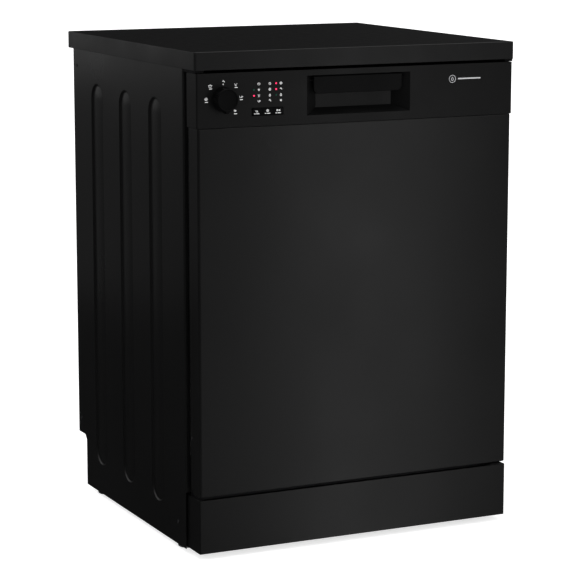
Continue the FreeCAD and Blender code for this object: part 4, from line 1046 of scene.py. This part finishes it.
def cup_shelves():
    for name, side in (("cup_shelf_left", -1), ("cup_shelf_right", 1)):
        outer, inner, z = side * 225, side * 145, 564
        frame = [(outer, -145, z), (inner, -145, z), (inner, 172, z), (outer, 172, z)]
        wires(name + "_frame", [frame, [(outer, -153, z), (outer, 180, z)]], 2.2, name,
              "coated_wire", (name,), 14)
        bars = [[(outer, y, z), (inner, y, z)] for y in spread(-120, 147, 10)]
        wires(name + "_bars", bars, 1.6, name, "coated_wire")


# ---- wash system -----------------------------------------------------------------------------

def spray_arm(name, low, high, hub, up):
    """A hollow arm with a rounded section that narrows to its tips, and slotted nozzles."""
    bm = bmesh.new()
    middle, half_tall = (low + high) / 2, (high - low) / 2
    rings = []
    places = [-214, -213.4, -211, -207, -201] + spread(-190, 190, 39) + [201, 207, 211, 213.4, 214]
    for x in places:
        wide = 24 - 11 * abs(x) / 201
        end = 214 - abs(x)
        shrink = sqrt(max(0.0004, 1 - (1 - min(end, 13) / 13) ** 2))
        tall = half_tall * (0.35 + 0.65 * shrink)
        rings.append([
            (x, 22 + wide * shrink * copysign(abs(cos(a)) ** 0.75, cos(a)),
             middle + tall * copysign(abs(sin(a)) ** 0.85, sin(a)))
            for a in (2 * pi * k / 28 for k in range(28))
        ])
    loft(bm, rings, ends=(True, True))
    bottom, top = hub
    turned(bm, [(9.2, bottom), (18, bottom), (19, bottom + 1), (19, top - 3), (17.5, top - 0.8),
                (14, top), (9.2, top)], (0, 22), "z", 48, (False, False))
    if up:
        turned(bm, [(9.2, top - 0.2), (0.3, top - 0.2)], (0, 22), "z", 48, (False, False))
    for side in (-1, 1):
        for i in range(6):
            x, y = side * (52 + 28 * i), 22 + side * (8 - 2.6 * i)
            for face, sign in ((high, 1), (low, -1)):
                turned(bm, [(5, face - sign * 0.8), (4.2, face + sign * 0.1), (2.6,
                                                                               face + sign * 0.5),
                            (1.3, face + sign * 0.5), (1.1, face - sign * 0.9), (0.1,
                                                                                 face - sign * 1)],
                       (x, y), "z", 20)
    finish_mesh(name + "_blade", bm, name, "grey_plastic", stands_for=(name,), sharp=45, solid=True)


def filters():
    bm = bmesh.new()
    outer = [ring_points((0, -10), r, z, 64) for r, z in
             ((98, 168.1), (98, 169.1), (97.2, 169.5), (94, 169.5), (92.5, 168.9), (91, 168.7))]
    loft(bm, outer)
    holes = [ring_points((0, -48), 38, 168.7), ring_points((0, 22), 15.5, 168.7)]
    flat_with_holes(bm, outer[-1], holes)
    for hole in holes:
        loft(bm, [hole, [(x, y, 168) for x, y, _ in hole]])
    finish_mesh("filter_plate", bm, "cabinet", "stainless", PERFORATED, stands_for=("flat_filter",),
                sharp=50)
    bm = bmesh.new()
    turned(bm, [(36.8, 104), (36.8, 168), (37, 171), (36.4, 172), (33, 172), (31.8, 171.2),
                (30.5, 169), (12, 168.4), (0.4, 168.4)], (0, -48), "z", 64, (True, False))
    for spot in circle((0, -48), 36.2, 24):
        turned(bm, [(0.7, 112), (0.9, 113), (0.9, 164), (0.7, 165)], spot, "z", 6)
    grip = round_corners([(-24, 169), (24, 169), (21, 181), (12, 183), (-12, 183), (-21, 181)], 3)
    rings = [[(x, y, z) for x, z in grip] for y in (-52, -44)]
    loft(bm, rings, ends=(True, True))
    finish_mesh("filter_cup", bm, "filter_cylinder", "grey_plastic",
                stands_for=("filter_cylinder",),
                edge=0.5, solid=True)
    bm = bmesh.new()
    turned(bm, [(24.7, 154), (24.7, 168.4), (29.4, 168.6), (30, 169.3), (30, 173), (29.2, 174),
                (27, 174), (25.5, 173.2), (0.4, 173)], (-150, -80), "z", 64, (True, False))
    for spot in circle((-150, -80), 29.4, 36):
        turned(bm, [(0.5, 169.4), (0.8, 170), (0.8, 172.6), (0.5, 173.4)], spot, "z", 6)
    grip = round_corners([(-172, 172), (-128, 172), (-130, 181), (-137, 182), (-163, 182), (-170,
                                                                                            181)],
                         2)
    loft(bm, [[(x, y, z) for x, z in grip] for y in (-84, -76)], ends=(True, True))
    finish_mesh("salt_cap_ribbed", bm, "salt_cap", "white_plastic", stands_for=("salt_cap",),
                edge=0.5,
                solid=True)


# ---- case details ----------------------------------------------------------------------------

def rear_sheet():
    bm = bmesh.new()
    at = lambda z, x, out: (x, 279.2 - out, z)
    beads = [(332, -257, 257, 12), (572, -257, 257, 12)]
    beads += [(z, x - 70, x + 70, 4) for x in (-130, 130) for z in (170, 190, 210, 230)]
    pressed_wall(bm, at, rectangle((104, 820), (-297.2, 297.2)), beads, 3.6)
    face_outwards(bm, (0, 1, 0))
    finish_mesh("rear_sheet", bm, "cabinet", "galvanised_sheet", stands_for=("rear_panel",),
                sheet=0.7, sharp=50)


def feet():
    for side_name, side in (("left", -1), ("right", 1)):
        for end_name, y in (("front", -190), ("rear", 192)):
            name = f"foot_{end_name}_{side_name}"
            low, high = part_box(name)
            bm = bmesh.new()
            top = high[2] / MM
            centre = (side * 275, y)
            turned(bm, [(14, 0), (16.6, 0), (17.6, 0.8), (18, 2.2), (17.7, 4), (15.6, 6.2), (12,
                                                                                             7.6),
                        (10.6, 9.2), (10.6, 10)], centre, "z", 48)
            loft(bm, [ring_points(centre, 9.8, z, 6) for z in (9.8, 16)], ends=(True, True))
            thread = [(4.7 + 0.3 * (i % 2), 15 + (top - 15) * i / 44) for i in range(45)]
            turned(bm, thread, centre, "z", 20)
            finish_mesh(name + "_turned", bm, name, slots[name], stands_for=(name,), solid=True)


def rear_services():
    """The threaded inlet, the drain spigot and the ribbed gland at the rear bottom."""
    bm = bmesh.new()
    plate(bm, rounded((182, 218), (44, 84), 4), 228, 181, 1.5)
    thread = [(12.4 + 0.8 * (i % 2), 243 + 0.75 * i) for i in range(14)]
    turned(bm, [(15, 227), (15, 241.4), (14.2, 242), (12.4, 242.4), *thread, (12.2, 254),
                (8, 254), (8, 222)], (200, 62), "y", 48)
    finish_mesh("inlet_thread", bm, "cabinet", slots["inlet_valve"], stands_for=("inlet_valve",))
    bm = bmesh.new()
    turned(bm, [(7.5, 206), (11, 206), (11, 241.4), (10.6, 242), (10, 242.4), (10, 248), (9.7, 249),
                (10, 250), (10, 256), (9.7, 257), (10, 258), (10, 264), (9, 267), (7.5, 267),
                (7.5, 207)], (240, 62), "y", 48, (False, False))
    finish_mesh("drain_pipe_end", bm, "cabinet", slots["drain_outlet"],
                stands_for=("drain_outlet",))
    bm = bmesh.new()
    ribs = [(6.2 + 1.6 * (1 - i / 8) + 0.5 * (i % 2), 240.5 + 1.9 * i) for i in range(9)]
    turned(bm, [(3.8, 224), (9, 224), (9, 236), (12.6, 236.2), (13, 236.8), (13, 238.4), (12.4,
                                                                                          239),
                (8.2, 239.4), *ribs, (5.8, 256), (3.8, 256), (3.8, 225)], (-205, 62), "y", 40,
           (False, False))
    finish_mesh("gland_ribbed", bm, "cabinet", slots["mains_gland"], stands_for=("mains_gland",))


def springs():
    """Closed coils, one on each side."""
    runs = []
    for x in (-245, 245):
        turns = 42
        coil = [(x + 6.6 * cos(2 * pi * i / 12), -178 + 116 * i / (12 * turns),
                 40 + 6.6 * sin(2 * pi * i / 12)) for i in range(12 * turns + 1)]
        runs.append(coil)
    mesh = tube_mesh("spring_coils", runs, 1.3)
    item = add_object("spring_coils", mesh, "cabinet", slots["door_springs"])
    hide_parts("door_springs")


tub()
tub_floor()
door_seal()
liner()
door_rim()
dispenser()
lower_rack()
wheels()
fold_row()
cutlery_basket()
upper_rack()
cup_shelves()
spray_arm("lower_spray_arm", 192, 202, (189.3, 206), True)
spray_arm("upper_spray_arm", 431, 441, (427.3, 441.6), False)
filters()
rear_sheet()
feet()
rear_services()
springs()


# ---- stage, lights and camera ---------------------------------------------------------------

def make_stage():
    mesh = bpy.data.meshes.new("floor")
    half = 60.0
    mesh.from_pydata(
        [(-half, -half, 0), (half, -half, 0), (half, half, 0), (-half, half, 0)], [], [(0, 1, 2, 3)]
    )
    floor = bpy.data.objects.new("floor", mesh)
    bpy.context.scene.collection.objects.link(floor)
    paper = moulded_plastic("paper", (0.8, 0.8, 0.8), 0.9)
    glow = paper.node_tree.nodes["Principled BSDF"]
    glow.inputs["Emission Color"].default_value = (1, 1, 1, 1)
    glow.inputs["Emission Strength"].default_value = 0.7
    mesh.materials.append(paper)
    floor.visible_glossy = False
    floor.visible_shadow = False


def area_light(name, place, target, width, height, power):
    light = bpy.data.lights.new(name, "AREA")
    light.shape = "RECTANGLE"
    light.size = width
    light.size_y = height
    light.energy = power
    lamp = bpy.data.objects.new(name, light)
    lamp.location = place
    lamp.visible_camera = False
    lamp.rotation_euler = (Vector(target) - Vector(place)).to_track_quat("-Z", "Y").to_euler()
    bpy.context.scene.collection.objects.link(lamp)


def arithmetic(tree, operation, *values):
    """A math node on values that are numbers or sockets."""
    node = add_node(tree, "Math")
    node.operation = operation
    for socket, value in zip(node.inputs, values):
        if isinstance(value, float):
            socket.default_value = value
        else:
            link(tree, value, socket)
    return node.outputs["Value"]


def add_lobe(tree, direction, axis, inner, outer, strength):
    """Light from round one direction of the room, fading from inner to outer degrees."""
    dot = add_node(tree, "VectorMath")
    dot.operation = "DOT_PRODUCT"
    link(tree, direction, dot.inputs[0])
    dot.inputs[1].default_value = Vector(axis).normalized()
    fade = add_node(tree, "MapRange", From_Min=cos(radians(outer)),
                    From_Max=cos(radians(inner)), To_Max=strength)
    fade.interpolation_type = "SMOOTHSTEP"
    link(tree, dot.outputs["Value"], fade.inputs["Value"])
    return fade.outputs["Result"]


def make_world():
    """A white room: even light on surfaces, and soft boxes on dark walls in reflections."""
    world = bpy.data.worlds.new("studio")
    world.use_nodes = True
    tree = world.node_tree
    path = add_node(tree, "LightPath")
    even = tree.nodes["Background"]
    even.inputs["Color"].default_value = (1, 1, 1, 1)
    shown = arithmetic(tree, "MULTIPLY_ADD", path.outputs["Is Camera Ray"], EXTRA_SEEN, EVEN_LIGHT)
    link(tree, shown, even.inputs["Strength"])
    direction = add_node(tree, "TexCoord").outputs["Generated"]
    total = DARK_WALL
    for lobe in ROOM_LOBES:
        total = arithmetic(tree, "ADD", total, add_lobe(tree, direction, *lobe))
    room = add_node(tree, "Background", Color=(1, 1, 1, 1))
    link(tree, total, room.inputs["Strength"])
    mix = add_node(tree, "MixShader")
    link(tree, path.outputs["Is Glossy Ray"], mix.inputs["Fac"])
    link(tree, even.outputs["Background"], mix.inputs[1])
    link(tree, room.outputs["Background"], mix.inputs[2])
    link(tree, mix.outputs["Shader"], tree.nodes["World Output"].inputs["Surface"])
    bpy.context.scene.world = world
    bpy.context.scene.view_settings.view_transform = "Standard"


EVEN_LIGHT = 0.85
EXTRA_SEEN = 0.4
DARK_WALL = 0.008
ROOM_LOBES = (
    ((0, 0, 1), 20, 65, 1.0),
    ((0.2, -1, 0.1), 20, 70, 0.07),
    ((-1, 0.2, 0.5), 10, 60, 0.05),
    ((1, 0.1, 0.4), 10, 60, 0.25),
)


def make_camera():
    data = bpy.data.cameras.new("camera")
    data.sensor_width = 36
    data.lens = 145.1
    camera = bpy.data.objects.new("camera", data)
    camera.location = (-1.760, -3.694, 1.124)
    camera.rotation_euler = (radians(79.99), 0, radians(-25.46))
    bpy.context.scene.collection.objects.link(camera)
    bpy.context.scene.camera = camera


make_stage()
area_light("front_softbox", (0.66, -1.55, 0.2), (0.05, -0.286, 0.2), 0.3, 1.7, 1.4)
area_light("side_softbox", (-0.86, 1.4, 1.15), (-0.298, 0, 0.8), 0.8, 1.0, 0.68)
area_light("side_fill", (-0.86, 1.4, 0.38), (-0.298, 0, 0.38), 0.8, 0.5, 0.055)
make_world()
make_camera()
